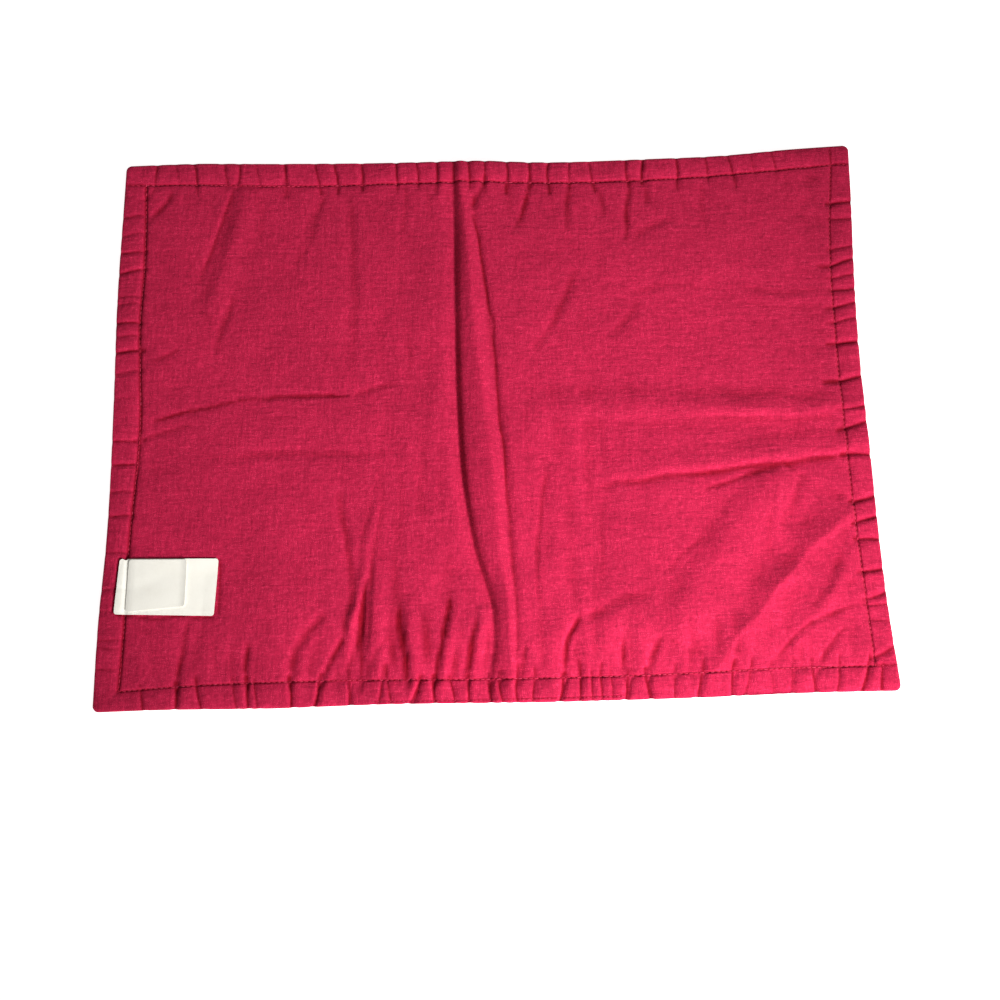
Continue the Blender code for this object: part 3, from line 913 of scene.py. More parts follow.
@dataclass
class MatPanel:
    """The mat inside its top-stitching, as one closed sheet."""

    surface: ClothSurface
    seam_margin: float = 1.3
    fold_reach: Point = (-60.0, 62.0)           # finer columns lie between these places
    beside_valley: Triple = (-10.0, -3.0, 2.0)
    beside_foot: Triple = (-1.5, 2.5, 12.0)
    crest_gap: float = 3.0                      # least distance from the valley's column
    gathered_to: float = -100.0                 # the rows below this place are finer
    columns: tuple[int, ...] = (3, 126, 25, 7, 10, 11, 8, 5, 9, 33, 123, 3)
    rows: tuple[int, ...] = (3, 42, 176, 3)
    # painted shade: cloth this far below its neighbours, blurred over the counts below, is painted
    # fully dark
    full_shade_depth: float = 0.5
    blur: tuple[int, int] = (4, 4)
    underside_cell: float = 7.0
    underside_margin: Point = (6.0, 4.0)
    coarse_gap: Point = (-8.0, 9.0)             # the larger cells end and start here at the fold
    fold_gap: Point = (-5.0, 6.0)
    fold_cell: float = 3.0
    fold_cover: float = 1.5                     # least thickness over the fold's tunnel
    probes: tuple[float, ...] = (-3.0, -1.5, 0.0, 1.5, 3.0)     # the cover is found at these
    least_gap: float = 1e-5                     # nearer points would be merged

    def _column_anchors(self, y: np.ndarray) -> list[np.ndarray]:
        """Find the anchor lines that the columns follow.

        Args:
            y: Places along y.

        Returns:
            The lines' places along x.
        """
        sides, fold = self.surface.sides, self.surface.fold
        left, right = sides[Side.LEFT].stitch.at(y), sides[Side.RIGHT].stitch.at(y)
        valley, foot = fold.valley(y), fold.foot(y)
        crest = np.maximum(fold.crest(y), valley + self.crest_gap)
        first, last = (np.full(y.shape, place) for place in self.fold_reach)
        return [left, left + self.seam_margin, first, *(valley + off for off in self.beside_valley),
                crest, *(foot + off for off in self.beside_foot), last, right - self.seam_margin,
                right]

    def _row_anchors(self, x: np.ndarray) -> list[np.ndarray]:
        """Find the anchor lines that the rows follow.

        Args:
            x: Places along x.

        Returns:
            The lines' places along y.
        """
        sides = self.surface.sides
        bottom, top = sides[Side.BOTTOM].stitch.at(x), sides[Side.TOP].stitch.at(x)
        gathered = np.full(x.shape, self.gathered_to)
        return [bottom, bottom + self.seam_margin, gathered, top - self.seam_margin, top]

    def _grid(self) -> Arrays:
        """Lay out the grid, so that both sets of anchor lines agree.

        Returns:
            The places of its points along x and along y.
        """
        shape = (1 + sum(self.columns), 1 + sum(self.rows))
        x, y = np.zeros(shape), np.zeros(shape)
        for _ in range(ROUNDS):
            x = laid_out(self._column_anchors(y), self.columns, 0)
            y = laid_out(self._row_anchors(x), self.rows, 1)
        return x, y

    def _underside(self, sheet: SheetMesh, rim: np.ndarray, x: np.ndarray,
                   y: np.ndarray) -> np.ndarray:
        """Close the sheet from below with larger triangles.

        Args:
            sheet: The mesh so far.
            rim: Places of the rim's points, in order, anticlockwise from above.
            x: Places of the grid along x.
            y: Places of the grid along y.

        Returns:
            The numbers of the underside's rim points.
        """
        fold, cell, (aside, away) = self.surface.fold, self.underside_cell, self.underside_margin
        inner = []
        for along in np.arange(y.min() + away, y.max() - away, cell):
            valley, foot = (float(line(np.array([along]))[0]) for line in (fold.valley, fold.foot))
            stretches = ((x.min() + aside, valley + self.coarse_gap[0], cell),
                         (valley + self.fold_gap[0], foot + self.fold_gap[1], self.fold_cell),
                         (foot + self.coarse_gap[1], x.max() - aside, cell))
            inner += [(at, along) for stretch in stretches for at in np.arange(*stretch)]
        flat = [Vector(point) for point in rim.tolist() + inner]
        loop = [(number, (number + 1) % len(rim)) for number in range(len(rim))]
        spots, _, faces, origin, _, _ = delaunay_2d_cdt(flat, loop, [], 1, self.least_gap)
        if len(spots) != len(flat) or any(start != [number] for number, start in enumerate(origin)):
            raise ValueError("the underside's points were merged")
        at = np.array([(*spot,) for spot in spots])
        around = [fold.height(at[:, 0] + off, at[:, 1]) for off in self.probes]
        tunnel = np.clip(np.minimum.reduce(around) - self.fold_cover, 0.0, None)
        on_rim = np.arange(len(at)) < len(rim)
        tunnel[on_rim] = 0.0
        numbers = sheet.add_points(at[:, 0], at[:, 1], tunnel, at, border=on_rim)
        for face in faces:
            sheet.faces.append(tuple(int(numbers[corner]) for corner in reversed(face)))
        return numbers[:len(rim)]

    def build(self, finish: bpy.types.Material) -> bpy.types.Object:
        """Build the panel.

        Args:
            finish: The cloth's material.

        Returns:
            The panel's object.
        """
        x, y = self._grid()
        height = self.surface.top(x, y)
        # painted shade where the cloth lies below its blurred neighbours, in pinched creases and in
        # seam grooves
        painted_shade = (blurred(height, self.blur, False) - height) / self.full_shade_depth
        painted_shade = np.minimum(np.maximum(painted_shade, self.surface.pinched(x, y)), 1.0)
        place = np.stack((x + self.surface.fold.slack(x, y), y), axis=-1)
        sheet = SheetMesh("mat_panel")
        sewing = self.surface.sewing(x, y)
        upper = sheet.add_points(x, y, height, place, painted_shade, sewing, rim_mask(x.shape))
        sheet.add_grid(upper)
        rim = np.stack((rim_of(x), rim_of(y)), axis=-1)
        sheet.add_wall(self._underside(sheet, rim, x, y), rim_of(upper))
        return sheet.make(finish)


@dataclass
class TurnedHem:
    """The four-layer band outside the top-stitching, as one closed ring with a rounded edge."""

    surface: ClothSurface
    pitch: float = 0.55
    corner_radius: float = 3.5
    corner_spread: float = 30.0     # the ring's stations fan out over this length before a corner
    across: tuple[float, ...] = (0.0, 0.012, 0.03, 0.06, 0.1, 0.16, 0.23, 0.31, 0.39, 0.47, 0.55,
                                 0.63, 0.71, 0.78, 0.84, 0.885, 0.92, 0.952, 0.976, 1.0)
    edge_height: float = 0.95       # height of the edge's outermost line
    edge_round: float = 1.7
    under: Rows = ((0.15, 0.5), (0.6, 0.15), (1.6, 0.0), (7.0, 0.0))
    # painted shade: cloth this far below its neighbours, blurred over the counts below, is painted
    # fully dark
    full_shade_depth: float = 0.35
    blur: tuple[int, int] = (5, 2)
    rings: tuple[tuple[Side, Side, Side], ...] = (
        (Side.BOTTOM, Side.LEFT, Side.RIGHT), (Side.RIGHT, Side.BOTTOM, Side.TOP),
        (Side.TOP, Side.RIGHT, Side.LEFT), (Side.LEFT, Side.TOP, Side.BOTTOM))

    def _corner(self, side: Side, other: Side, which: HemLine) -> float:
        """Return where a side's line meets another side's, along the first."""
        level, upright = (side, other) if side.level else (other, side)
        return self.surface.corner(level, upright, which)[0 if side.level else 1]

    def _stations(self, side: Side, first: Side, last: Side) -> Arrays:
        """Find the inner and outer ends of the ring's stations along one side.

        Args:
            side: The side.
            first: The side that it starts at, going round anticlockwise.
            last: The side that it ends at.

        Returns:
            The inner and the outer points, without those of the last corner.
        """
        hem = self.surface.sides[side]
        inner_ends, outer_ends = ([self._corner(side, other, which) for other in (first, last)]
                                  for which in (HemLine.STITCH, HemLine.EDGE))
        forward = np.sign(inner_ends[1] - inner_ends[0])
        count = int(round(abs(inner_ends[1] - inner_ends[0]) / self.pitch))
        inner = np.linspace(inner_ends[0], inner_ends[1], count + 1)[:-1]
        outer, sink = inner.copy(), np.zeros(count)
        for end, (seam, edge) in enumerate(zip(inner_ends, outer_ends)):
            from_seam = np.abs(inner - seam)
            spread = 1 - np.clip(from_seam / self.corner_spread, 0.0, 1.0)
            from_edge = from_seam + abs(edge - seam) * (1 - spread ** 2)
            inward = forward if end == 0 else -forward
            turn = np.pi / 4 * np.clip(1 - from_edge / self.corner_radius, 0.0, 1.0)
            on_arc = self.corner_radius * (1 - np.sin(turn))
            placed = edge + inward * np.where(turn > 0, on_arc, from_edge)
            outer = np.where(spread > 0, placed, outer)
            sink = np.where(turn > 0, self.corner_radius * (1 - np.cos(turn)), sink)
        edge_line = hem.drawn_edge(outer) - side.outward * sink
        ends = ((inner, hem.stitch.at(inner)), (outer, edge_line))
        return tuple(np.stack(side.split(*end), axis=-1) for end in ends)

    def build(self, finish: bpy.types.Material) -> bpy.types.Object:
        """Build the hem.

        Args:
            finish: The cloth's material.

        Returns:
            The hem's object.
        """
        stations = [self._stations(*ring) for ring in self.rings]
        inner, outer = (np.concatenate(points) for points in zip(*stations))
        share = np.array(self.across)[None, :, None]
        upper = outer[:, None] * (1 - share) + inner[:, None] * share
        x, y = upper[..., 0], upper[..., 1]
        full = self.surface.top(x, y)
        widths = [side.seam.outside(*outer.T) for side in self.surface.sides.values()]
        band = np.maximum.reduce(widths)[:, None] * share[..., 0]
        turned = np.sqrt(1 - (1 - np.clip(band / self.edge_round, 0.0, 1.0)) ** 2)
        height = self.edge_height + (full - self.edge_height) * turned
        outward = ((outer - inner) / np.hypot(*(inner - outer).T)[:, None])[:, None]
        insets, lower_height = np.array(self.under).T
        lower = outer[:, None] - outward * insets[None, :, None]
        lower = np.concatenate((lower, inner[:, None]), axis=1)
        lower_height = np.broadcast_to((*lower_height, 0.0), lower.shape[:2])
        # the cross-section, from the seam over the top to the edge and back below
        ring = np.concatenate((upper[:, ::-1], lower), axis=1)
        ring_height = np.concatenate((height[:, ::-1], lower_height), axis=1)
        level_run = np.hypot(*np.moveaxis(np.diff(ring, axis=1), -1, 0))
        run = np.hypot(level_run, np.diff(ring_height, axis=1))
        along = np.concatenate((np.zeros((len(ring), 1)), np.cumsum(run, axis=1)), axis=1)
        taken = self.surface.fold.slack(*inner.T)
        start = inner + np.stack((taken, np.zeros(len(inner))), axis=-1)
        place = start[:, None] + outward * along[..., None]
        painted_shade, sewing = np.zeros(ring_height.shape), np.zeros((*ring_height.shape, 2))
        # painted shade where the hem lies below its blurred neighbours, in pinched creases and in
        # seam grooves
        painted_hem_shade = (blurred(full, self.blur, True) - full) / self.full_shade_depth
        painted_hem_shade = np.minimum(np.maximum(painted_hem_shade, self.surface.pinched(x, y)), 1.0)
        painted_shade[:, :len(self.across)] = painted_hem_shade[:, ::-1]
        sewing[:, :len(self.across)] = self.surface.sewing(x, y)[:, ::-1]
        border = np.zeros(ring_height.shape, bool)
        border[:, [0, -1]] = True
        sheet = SheetMesh("mat_hem")
        numbers = sheet.add_points(ring[..., 0], ring[..., 1], ring_height, place, painted_shade, sewing,
                                   border)
        sheet.add_grid(np.pad(numbers, ((0, 1), (0, 1)), mode="wrap")[::-1])
        return sheet.make(finish)


@dataclass(frozen=True)
class RibbonLeaf:
    """One leaf of the ribbon label, lying on what is under it."""

    name: str
    corners: tuple[Point, Point, Point, Point]      # top left, top right, bottom right, bottom left
    lift: float                                     # from the cloth to the leaf's underside
    curl: float = 0.0                               # how far its free end stands up
    curl_length: float = 4.5
    swell: float = 0.1                              # how far its middle stands up
    thickness: float = 0.35
    step: float = 0.6
    drape: float = 1.5                              # it bridges what is narrower than twice this
    blur: tuple[int, int] = (2, 2)
    corner_radius: float = 1.5
    notch: float = 0.8                              # depth of the nick that the seam makes on top
    notch_width: float = 1.6
    notch_place: float = 0.6                        # left of the seam
    notch_from: float = 0.8                         # share of the leaf's depth
    notch_fade: float = 0.2
    relief: SoftCurve = SoftCurve((
        (-8, 0.3), (-3, 0.3), (-1.0, 0.24), (0, 0.1), (0.8, 0.16), (2.6, 0.36), (4.4, 0.46),
        (8, 0.45), (22, 0.4), (36, 0.42), (54, 0.3)))

    def _rounded(self, along: np.ndarray, across: np.ndarray, width: float,
                 depth: float) -> Arrays:
        """Round the leaf's corners.

        Args:
            along: Distances from the leaf's left end.
            across: Distances from its lower edge.
            width: Its length.
            depth: Its depth.

        Returns:
            The distances, drawn in at the corners.
        """
        radius = self.corner_radius
        sides = ((along, width), (across, depth))
        u, v = (np.clip(np.abs(place - size / 2) - size / 2 + radius, 0.0, None) / radius
                for place, size in sides)
        draws = (radius * first * (1 - np.sqrt(1 - second * second / 2))
                 for first, second in ((u, v), (v, u)))
        return tuple(place - np.sign(place - size / 2) * draw
                     for (place, size), draw in zip(sides, draws))

    def build(self, surface: ClothSurface, finish: bpy.types.Material) -> bpy.types.Object:
        """Build the leaf as a closed sheet.

        Args:
            surface: The cloth that it lies on.
            finish: The ribbon's material.

        Returns:
            The leaf's object.
        """
        top_left, top_right, bottom_right, bottom_left = np.array(self.corners)
        width, depth = np.hypot(*(top_right - top_left)), np.hypot(*(top_left - bottom_left))
        lines = (np.linspace(0.0, size, int(size / self.step) + 1) for size in (width, depth))
        along, across = self._rounded(*np.meshgrid(*lines, indexing="ij"), width, depth)
        s, t = (along / width)[..., None], (across / depth)[..., None]
        below, above = bottom_left * (1 - s) + bottom_right * s, top_left * (1 - s) + top_right * s
        x, y = np.moveaxis(below * (1 - t) + above * t, -1, 0)
        seam = surface.sides[Side.LEFT].stitch.at(y)
        nick = self.notch * Fall.SOFT.share(np.abs(x - seam + self.notch_place), self.notch_width)
        y = y - nick * np.clip((t[..., 0] - self.notch_from) / self.notch_fade, 0.0, 1.0)
        reach = (-self.drape, 0.0, self.drape)
        cloth = np.maximum.reduce([surface.top(x + right, y + away)
                                   for right in reach for away in reach])
        free = np.clip(1 - (width - along) / self.curl_length, 0.0, 1.0)
        swell = self.swell * np.sin(np.pi * t[..., 0]) * np.sin(np.pi * s[..., 0])
        under = blurred(cloth, self.blur, False) + self.lift + self.relief.at(x - seam) + swell
        under = under + self.curl * free ** 2
        place, border = np.stack((along, across), axis=-1), rim_mask(x.shape)
        sheet = SheetMesh(self.name)
        upper = sheet.add_points(x, y, under + self.thickness, place, border=border)
        lower = sheet.add_points(x, y, under, place, border=border)
        sheet.add_grid(upper)
        sheet.add_grid(lower[:, ::-1])
        sheet.add_wall(rim_of(lower), rim_of(upper))
        return sheet.make(finish)


@dataclass
class StitchTree:
    """The node tree that lays one rounded stitch of thread on each point of a row."""

    length: float = 2.5
    thread_radius: float = 0.2
    sink: float = 0.35              # how far its ends dive into the cloth
    unevenness: float = 0.12
    seed: int = 7
    bow_steps: int = 6
    thread_sides: int = 7

    def inputs(self) -> dict[str, float]:
        """Return the tree's named inputs, lengths in metres."""
        return {"Stitch Length": self.length * MM, "Thread Radius": self.thread_radius * MM,
                "Sink": self.sink * MM, "Unevenness": self.unevenness}

    def tree(self, finish: bpy.types.Material) -> bpy.types.GeometryNodeTree:
        """Build the node tree.

        Args:
            finish: The thread's material.

        Returns:
            The tree.
        """
        tree = bpy.data.node_groups.new("stitch_row", "GeometryNodeTree")
        tree.interface.new_socket("Geometry", in_out="INPUT", socket_type="NodeSocketGeometry")
        for name, value in (*self.inputs().items(), ("Seed", self.seed)):
            kind = "NodeSocketInt" if isinstance(value, int) else "NodeSocketFloat"
            tree.interface.new_socket(name, in_out="INPUT", socket_type=kind).default_value = value
        tree.interface.new_socket("Geometry", in_out="OUTPUT", socket_type="NodeSocketGeometry")
        wires = Wiring(tree)
        given = wires.node("NodeGroupInput").outputs
        half = wires.product(given["Stitch Length"], 0.5)
        back, down = wires.product(half, -1.0), wires.product(given["Sink"], -1.0)
        bow = wires.node("GeometryNodeCurveQuadraticBezier", {
            "Resolution": self.bow_steps, "Start": wires.combine(back, 0.0, down),
            "Middle": wires.combine(0.0, 0.0, given["Sink"]),
            "End": wires.combine(half, 0.0, down)})
        round_thread = wires.node("GeometryNodeCurvePrimitiveCircle", {
            "Resolution": self.thread_sides, "Radius": given["Thread Radius"]})
        stitch = wires.node("GeometryNodeCurveToMesh", {
            "Curve": bow.outputs["Curve"], "Profile Curve": round_thread.outputs["Curve"],
            "Fill Caps": True})
        heading = wires.node("GeometryNodeInputNamedAttribute", {"Name": "heading"},
                             data_type="FLOAT_VECTOR")
        turn = wires.node("FunctionNodeAxesToRotation", {
            "Primary Axis": heading.outputs["Attribute"], "Secondary Axis": (0.0, 0.0, 1.0)},
            primary_axis="X", secondary_axis="Z")
        smaller, larger = (wires.combine(*3 * [wires.math(way, 1.0, given["Unevenness"])])
                           for way in ("SUBTRACT", "ADD"))
        spread = wires.node("FunctionNodeRandomValue", {
            0: smaller, 1: larger, "Seed": given["Seed"]}, data_type="FLOAT_VECTOR")
        lay = wires.node("GeometryNodeInstanceOnPoints", {
            "Points": given["Geometry"], "Instance": stitch.outputs["Mesh"],
            "Rotation": turn.outputs["Rotation"], "Scale": spread.outputs[0]})
        real = wires.node("GeometryNodeRealizeInstances", {"Geometry": lay.outputs["Instances"]})
        dressed = wires.node("GeometryNodeSetMaterial", {
            "Geometry": real.outputs["Geometry"], "Material": finish})
        wires.node("NodeGroupOutput", {"Geometry": dressed.outputs["Geometry"]})
        return tree


@dataclass
class Topstitching:
    """Rows of stitches, laid by one node tree and turned into a plain mesh."""

    name: str
    rows: tuple[SewnLine, ...]
    kind: StitchTree = field(default_factory=StitchTree)
    lift: float = 0.1

    def build(self, surface: ClothSurface, finish: bpy.types.Material) -> bpy.types.Object:
        """Build the rows.

        Args:
            surface: The cloth that they are sewn on.
            finish: The thread's material.

        Returns:
            The stitches' object.
        """
        laid = [row.stitches(surface.top, self.lift) for row in self.rows]
        middles, headings = (np.concatenate(parts) for parts in zip(*laid))
        spots = bpy.data.meshes.new(self.name + "_spots")
        spots.from_pydata(in_scene(middles), [], [])
        heading = spots.attributes.new("heading", "FLOAT_VECTOR", "POINT")
        heading.data.foreach_set("vector", headings.ravel().astype(np.float32))
        holder = placed(self.name + "_spots", spots)
        modifier = holder.modifiers.new("stitches", "NODES")
        modifier.node_group = self.kind.tree(finish)
        settings = {**self.kind.inputs(), "Seed": self.kind.seed}
        for item in modifier.node_group.interface.items_tree:
            if item.in_out == "INPUT" and item.name in settings:
                modifier[item.identifier] = settings[item.name]
        evaluated = holder.evaluated_get(bpy.context.evaluated_depsgraph_get())
        mesh = bpy.data.meshes.new_from_object(evaluated)
        holder.modifiers.remove(modifier)
        bpy.data.objects.remove(holder)
        mesh.name = self.name
        smooth(mesh)
        return placed(self.name, mesh)


# ---- Finishes --------------------

def new_material(name: str, even: dict[str, Feed]
                 ) -> tuple[bpy.types.Material, Wiring, bpy.types.NodeInputs]:
    """Start a material.

    Args:
        name: Its name.
        even: What is the same all over it, by the name of the shader's socket.

    Returns:
        The material, its wiring and the shader's sockets.
    """
    material = bpy.data.materials.new(name)
    material.use_nodes = True
    material.node_tree.nodes.clear()
    wires = Wiring(material.node_tree)
    shader = wires.node("ShaderNodeBsdfPrincipled", even)
    wires.node("ShaderNodeOutputMaterial", {"Surface": shader.outputs[0]})
    return material, wires, shader.inputs


@dataclass(frozen=True)
class CrimsonWeave:
    """Washed plain-weave cotton: uneven threads and light slubs, with painted shade in its dips and
    seams.

    Lengths are in millimetres and scales in cycles for each of them, but for heights in metres.
    """

    colour: Colour = (0.475, 0.0145, 0.058, 1.0)
    fleck_colour: Colour = (0.72, 0.047, 0.125, 1.0)
    # painted shade: dips, pinched creases and seam grooves are darkened towards this colour, by at
    # most the share below
    painted_shade_colour: Colour = (0.19, 0.0005, 0.006, 1.0)
    painted_shade_share: float = 0.85
    thread_pitch: Point = (0.56, 0.6)
    thread_dive: float = 0.55               # how far a thread sinks where it passes under another
    painted_thread_shade: Point = (0.86, 1.04)      # painted shade in the gaps between threads, and painted light on top of them
    thread_contrast: float = 0.4
    tone_range: Point = (0.25, 0.75)
    wander: float = 1.6
    wander_scale: float = 0.018
    streak_length: float = 3.2
    streak_steps: Point = (5.37, 7.13)      # from thread to thread, so that each has its own
    fleck_range: Point = (0.56, 0.74)
    fleck_share: float = 0.3
    dye: Rows = ((0.02, 4.0), (0.16, 3.0))  # scale and detail of the dye's uneven patches
    dye_range: Point = (0.3, 0.7)
    dye_shade: Point = (0.94, 1.06)
    dye_roughness: float = 0.6
    shade_between_holes: float = 0.5              # painted shade of a seam between its needle holes, against full shade at the holes
    hole_range: Point = (-0.3, 0.7)
    thread_height: float = 0.00015
    thread_strength: float = 0.8
    crumples: Triple = (0.22, 3.0, 0.55)     # scale, detail and roughness
    crumple_height: float = 0.00036
    wrinkle_scales: Point = (0.45, 0.07)    # across and along a wrinkle
    wrinkle_height: float = 0.0003
    roughness: Point = (0.95, 0.8)          # of dark and of light threads
    roughness_range: Point = (0.3, 0.7)
    specular: float = 0.05
    sheen: float = 0.02
    sheen_roughness: float = 0.45

    def material(self) -> bpy.types.Material:
        """Build the material.

        Returns:
            The material.
        """
        material, wires, shader = new_material("crimson_plain_weave", {
            "Specular IOR Level": self.specular, "Sheen Weight": self.sheen,
            "Sheen Roughness": self.sheen_roughness})
        place = wires.cloth_place()
        drift = wires.noise(place, self.wander_scale, 1.0, output=1)
        drift = wires.scaled(wires.vector("SUBTRACT", drift, (0.5, 0.5, 0.5)), 2 * self.wander)
        grain = wires.vector("ADD", place, drift)
        threads = wires.vector("DIVIDE", grain, (*self.thread_pitch, 1.0))
        numbers, parts = (wires.split(wires.vector(way, threads)) for way in ("FLOOR", "FRACTION"))
        rounds = [self._round(wires, part) for part in parts]
        warp_over = wires.math("FLOORED_MODULO", wires.math("ADD", *numbers), 2.0)
        warp_height, weft_height = (self._crossing(wires, *pair) for pair in (rounds, rounds[::-1]))
        height = wires.choose(warp_over, weft_height, warp_height)
        warp, weft = (wires.product(*pair) for pair in zip(numbers, self.streak_steps))
        grain_x, grain_y = (wires.product(part, 1 / self.streak_length)
                            for part in wires.split(grain))
        warp_tone, weft_tone = (wires.noise(wires.combine(*pair), 1.0)
                                for pair in ((warp, grain_y), (grain_x, weft)))
        tone = wires.choose(warp_over, weft_tone, warp_tone)
        swing = self.thread_contrast / 2
        # the threads' random tone, painted shade between the threads, and the dye's random patches
        shades = [wires.between(tone, self.tone_range, (1 - swing, 1 + swing)),
                  wires.between(height, (0.0, 1.0), self.painted_thread_shade)]
        for scale, detail in self.dye:
            patches = wires.noise(place, scale, detail, self.dye_roughness)
            shades.append(wires.between(patches, self.dye_range, self.dye_shade))
        flecks = wires.product(wires.between(tone, self.fleck_range), self.fleck_share)
        colour = wires.blend(flecks, self.colour, self.fleck_colour)
        # painted shade in the cloth's dips, pinched creases and seam grooves
        painted_shade = wires.between(self._painted_shade(wires), (0.0, 1.0), (0.0, self.painted_shade_share))
        colour = wires.blend(painted_shade, colour, self.painted_shade_colour)
        wires.feed(shader["Base Color"], wires.scaled(colour, wires.product(*shades)))
        wires.feed(shader["Roughness"], wires.between(tone, self.roughness_range, self.roughness))
        normal = wires.bump(wires.noise(place, *self.crumples), self.crumple_height)
        for stretch in (self.wrinkle_scales, self.wrinkle_scales[::-1]):
            wrinkles = wires.noise(wires.vector("MULTIPLY", place, (*stretch, 1.0)), 1.0)
            normal = wires.bump(wrinkles, self.wrinkle_height, under=normal)
        normal = wires.bump(height, self.thread_height, self.thread_strength, normal)
        wires.feed(shader["Normal"], normal)
        return material

    @staticmethod
    def _round(wires: Wiring, part: Socket) -> Socket:
        """Return the rounded height of a thread, 1 along its middle and 0 at its sides."""
        side = wires.math("MULTIPLY_ADD", part, 2.0, -1.0)
        return wires.math("MULTIPLY_ADD", wires.product(side, side), -1.0, 1.0)

    def _crossing(self, wires: Wiring, over: Socket, under: Socket) -> Socket:
        """Return the height of a thread where it passes over another."""
        dive = wires.math("MULTIPLY_ADD", under, self.thread_dive, 1 - self.thread_dive)
        return wires.product(over, dive)

    def _painted_shade(self, wires: Wiring) -> Socket:
        """Find the painted shade of the dips, pinched creases and seam grooves, darkest at needle
        holes.

        Args:
            wires: The material's wiring.

        Returns:
            1 where the shade is painted darkest, 0 where none is painted.
        """
        painted_shade, grip, count = (wires.node("ShaderNodeAttribute", attribute_name=name).outputs["Fac"]
                               for name in ("painted_shade", "grip", "stitch_count"))
        # painted shade at the needle holes, lighter between them
        turn = wires.math("COSINE", wires.product(count, 2 * np.pi))
        holes = wires.between(turn, self.hole_range, (self.shade_between_holes, 1.0))
        return wires.math("MAXIMUM", painted_shade, wires.product(grip, holes))


@dataclass(frozen=True)
class CreamRibbon:
    """Cream ribbon with fine ribs across it, finer lines along it, painted shade in their grooves
    and faint yellowing.

    Lengths are in millimetres and scales in cycles for each of them, but for the ribs' height.
    """

    colour: Colour = (0.95, 0.92, 0.83, 1.0)
    aged_colour: Colour = (0.88, 0.84, 0.73, 1.0)
    ageing: Triple = (0.07, 3.0, 0.6)        # scale, detail and roughness
    age_range: Point = (0.45, 0.8)
    fibre_scales: Point = (2.6, 0.4)
    fibre_detail: float = 3.0
    fibre_range: Point = (0.5, 0.9)
    aged_share: Point = (0.0, 0.3)
    rib_pitch: float = 0.42
    rib_share: float = 0.5
    line_pitch: float = 0.7                 # of the rib's pitch
    line_share: float = 0.3
    # painted shade in the grooves of the ribs and lines, none on their tops
    painted_rib_shade: Point = (0.965, 1.0)
    rib_height: float = 0.00005
    rib_strength: float = 0.6
    roughness: float = 0.55
    specular: float = 0.35
    sheen: float = 0.1

    def material(self) -> bpy.types.Material:
        """Build the material.

        Returns:
            The material.
        """
        material, wires, shader = new_material("cream_ribbon", {
            "Roughness": self.roughness, "Specular IOR Level": self.specular,
            "Sheen Weight": self.sheen})
        place = wires.cloth_place()
        x, y = wires.split(place)
        pitches = ((x, self.rib_pitch), (y, self.line_pitch * self.rib_pitch))
        ribs, lines = (wires.math("SINE", wires.product(part, 2 * np.pi / pitch))
                       for part, pitch in pitches)
        ribs = wires.product(ribs, self.rib_share)
        relief = wires.math("MULTIPLY_ADD", lines, self.line_share, ribs)
        fibres = wires.combine(*(wires.product(*pair) for pair in zip((x, y), self.fibre_scales)))
        aged = wires.between(wires.noise(place, *self.ageing), self.age_range, self.aged_share)
        fibres = wires.noise(fibres, 1.0, self.fibre_detail)
        worn = wires.between(fibres, self.fibre_range, self.aged_share)
        colour = wires.blend(wires.math("ADD", aged, worn), self.colour, self.aged_colour)
        most = self.rib_share + self.line_share
        # painted shade that follows the relief of the ribs and lines
        shade = wires.between(relief, (-most, most), self.painted_rib_shade)
        wires.feed(shader["Base Color"], wires.scaled(colour, shade))
        wires.feed(shader["Normal"], wires.bump(relief, self.rib_height, self.rib_strength))
        return material


@dataclass(frozen=True)
class SewingThread:
    """Crimson sewing thread with the twist of its plies, painted lighter on their crests."""

    name: str
    colour: Colour = (0.42, 0.010, 0.04, 1.0)
    # painted highlight on the plies' crests, where the thread is also lighter at random
    lit_ply_colour: Colour = (0.72, 0.07, 0.15, 1.0)
    light_scale: float = 0.3                # cycles for each millimetre
    light_range: Point = (0.35, 0.65)
    ply_pitch: float = 0.32                 # mm
    ply_height: float = 0.00006
    ply_strength: float = 0.7
    roughness: float = 0.7
    specular: float = 0.12

    def material(self) -> bpy.types.Material:
        """Build the material.

        Returns:
            The material.
        """
        material, wires, shader = new_material(self.name, {
            "Roughness": self.roughness, "Specular IOR Level": self.specular})
        place = wires.scaled(wires.node("ShaderNodeTexCoord").outputs["Object"], 1 / MM)
        slant = wires.product(wires.math("ADD", *wires.split(place)), 2 * np.pi / self.ply_pitch)
        plies = wires.between(wires.math("SINE", slant), (-1.0, 1.0))
        uneven = wires.between(wires.noise(place, self.light_scale), self.light_range)
        # painted highlight on the ply crests, scaled by the thread's random unevenness
        colour = wires.blend(wires.product(plies, uneven), self.colour, self.lit_ply_colour)
        wires.feed(shader["Base Color"], colour)
        wires.feed(shader["Normal"], wires.bump(plies, self.ply_height, self.ply_strength))
        return material


# ---- Studio --------------------

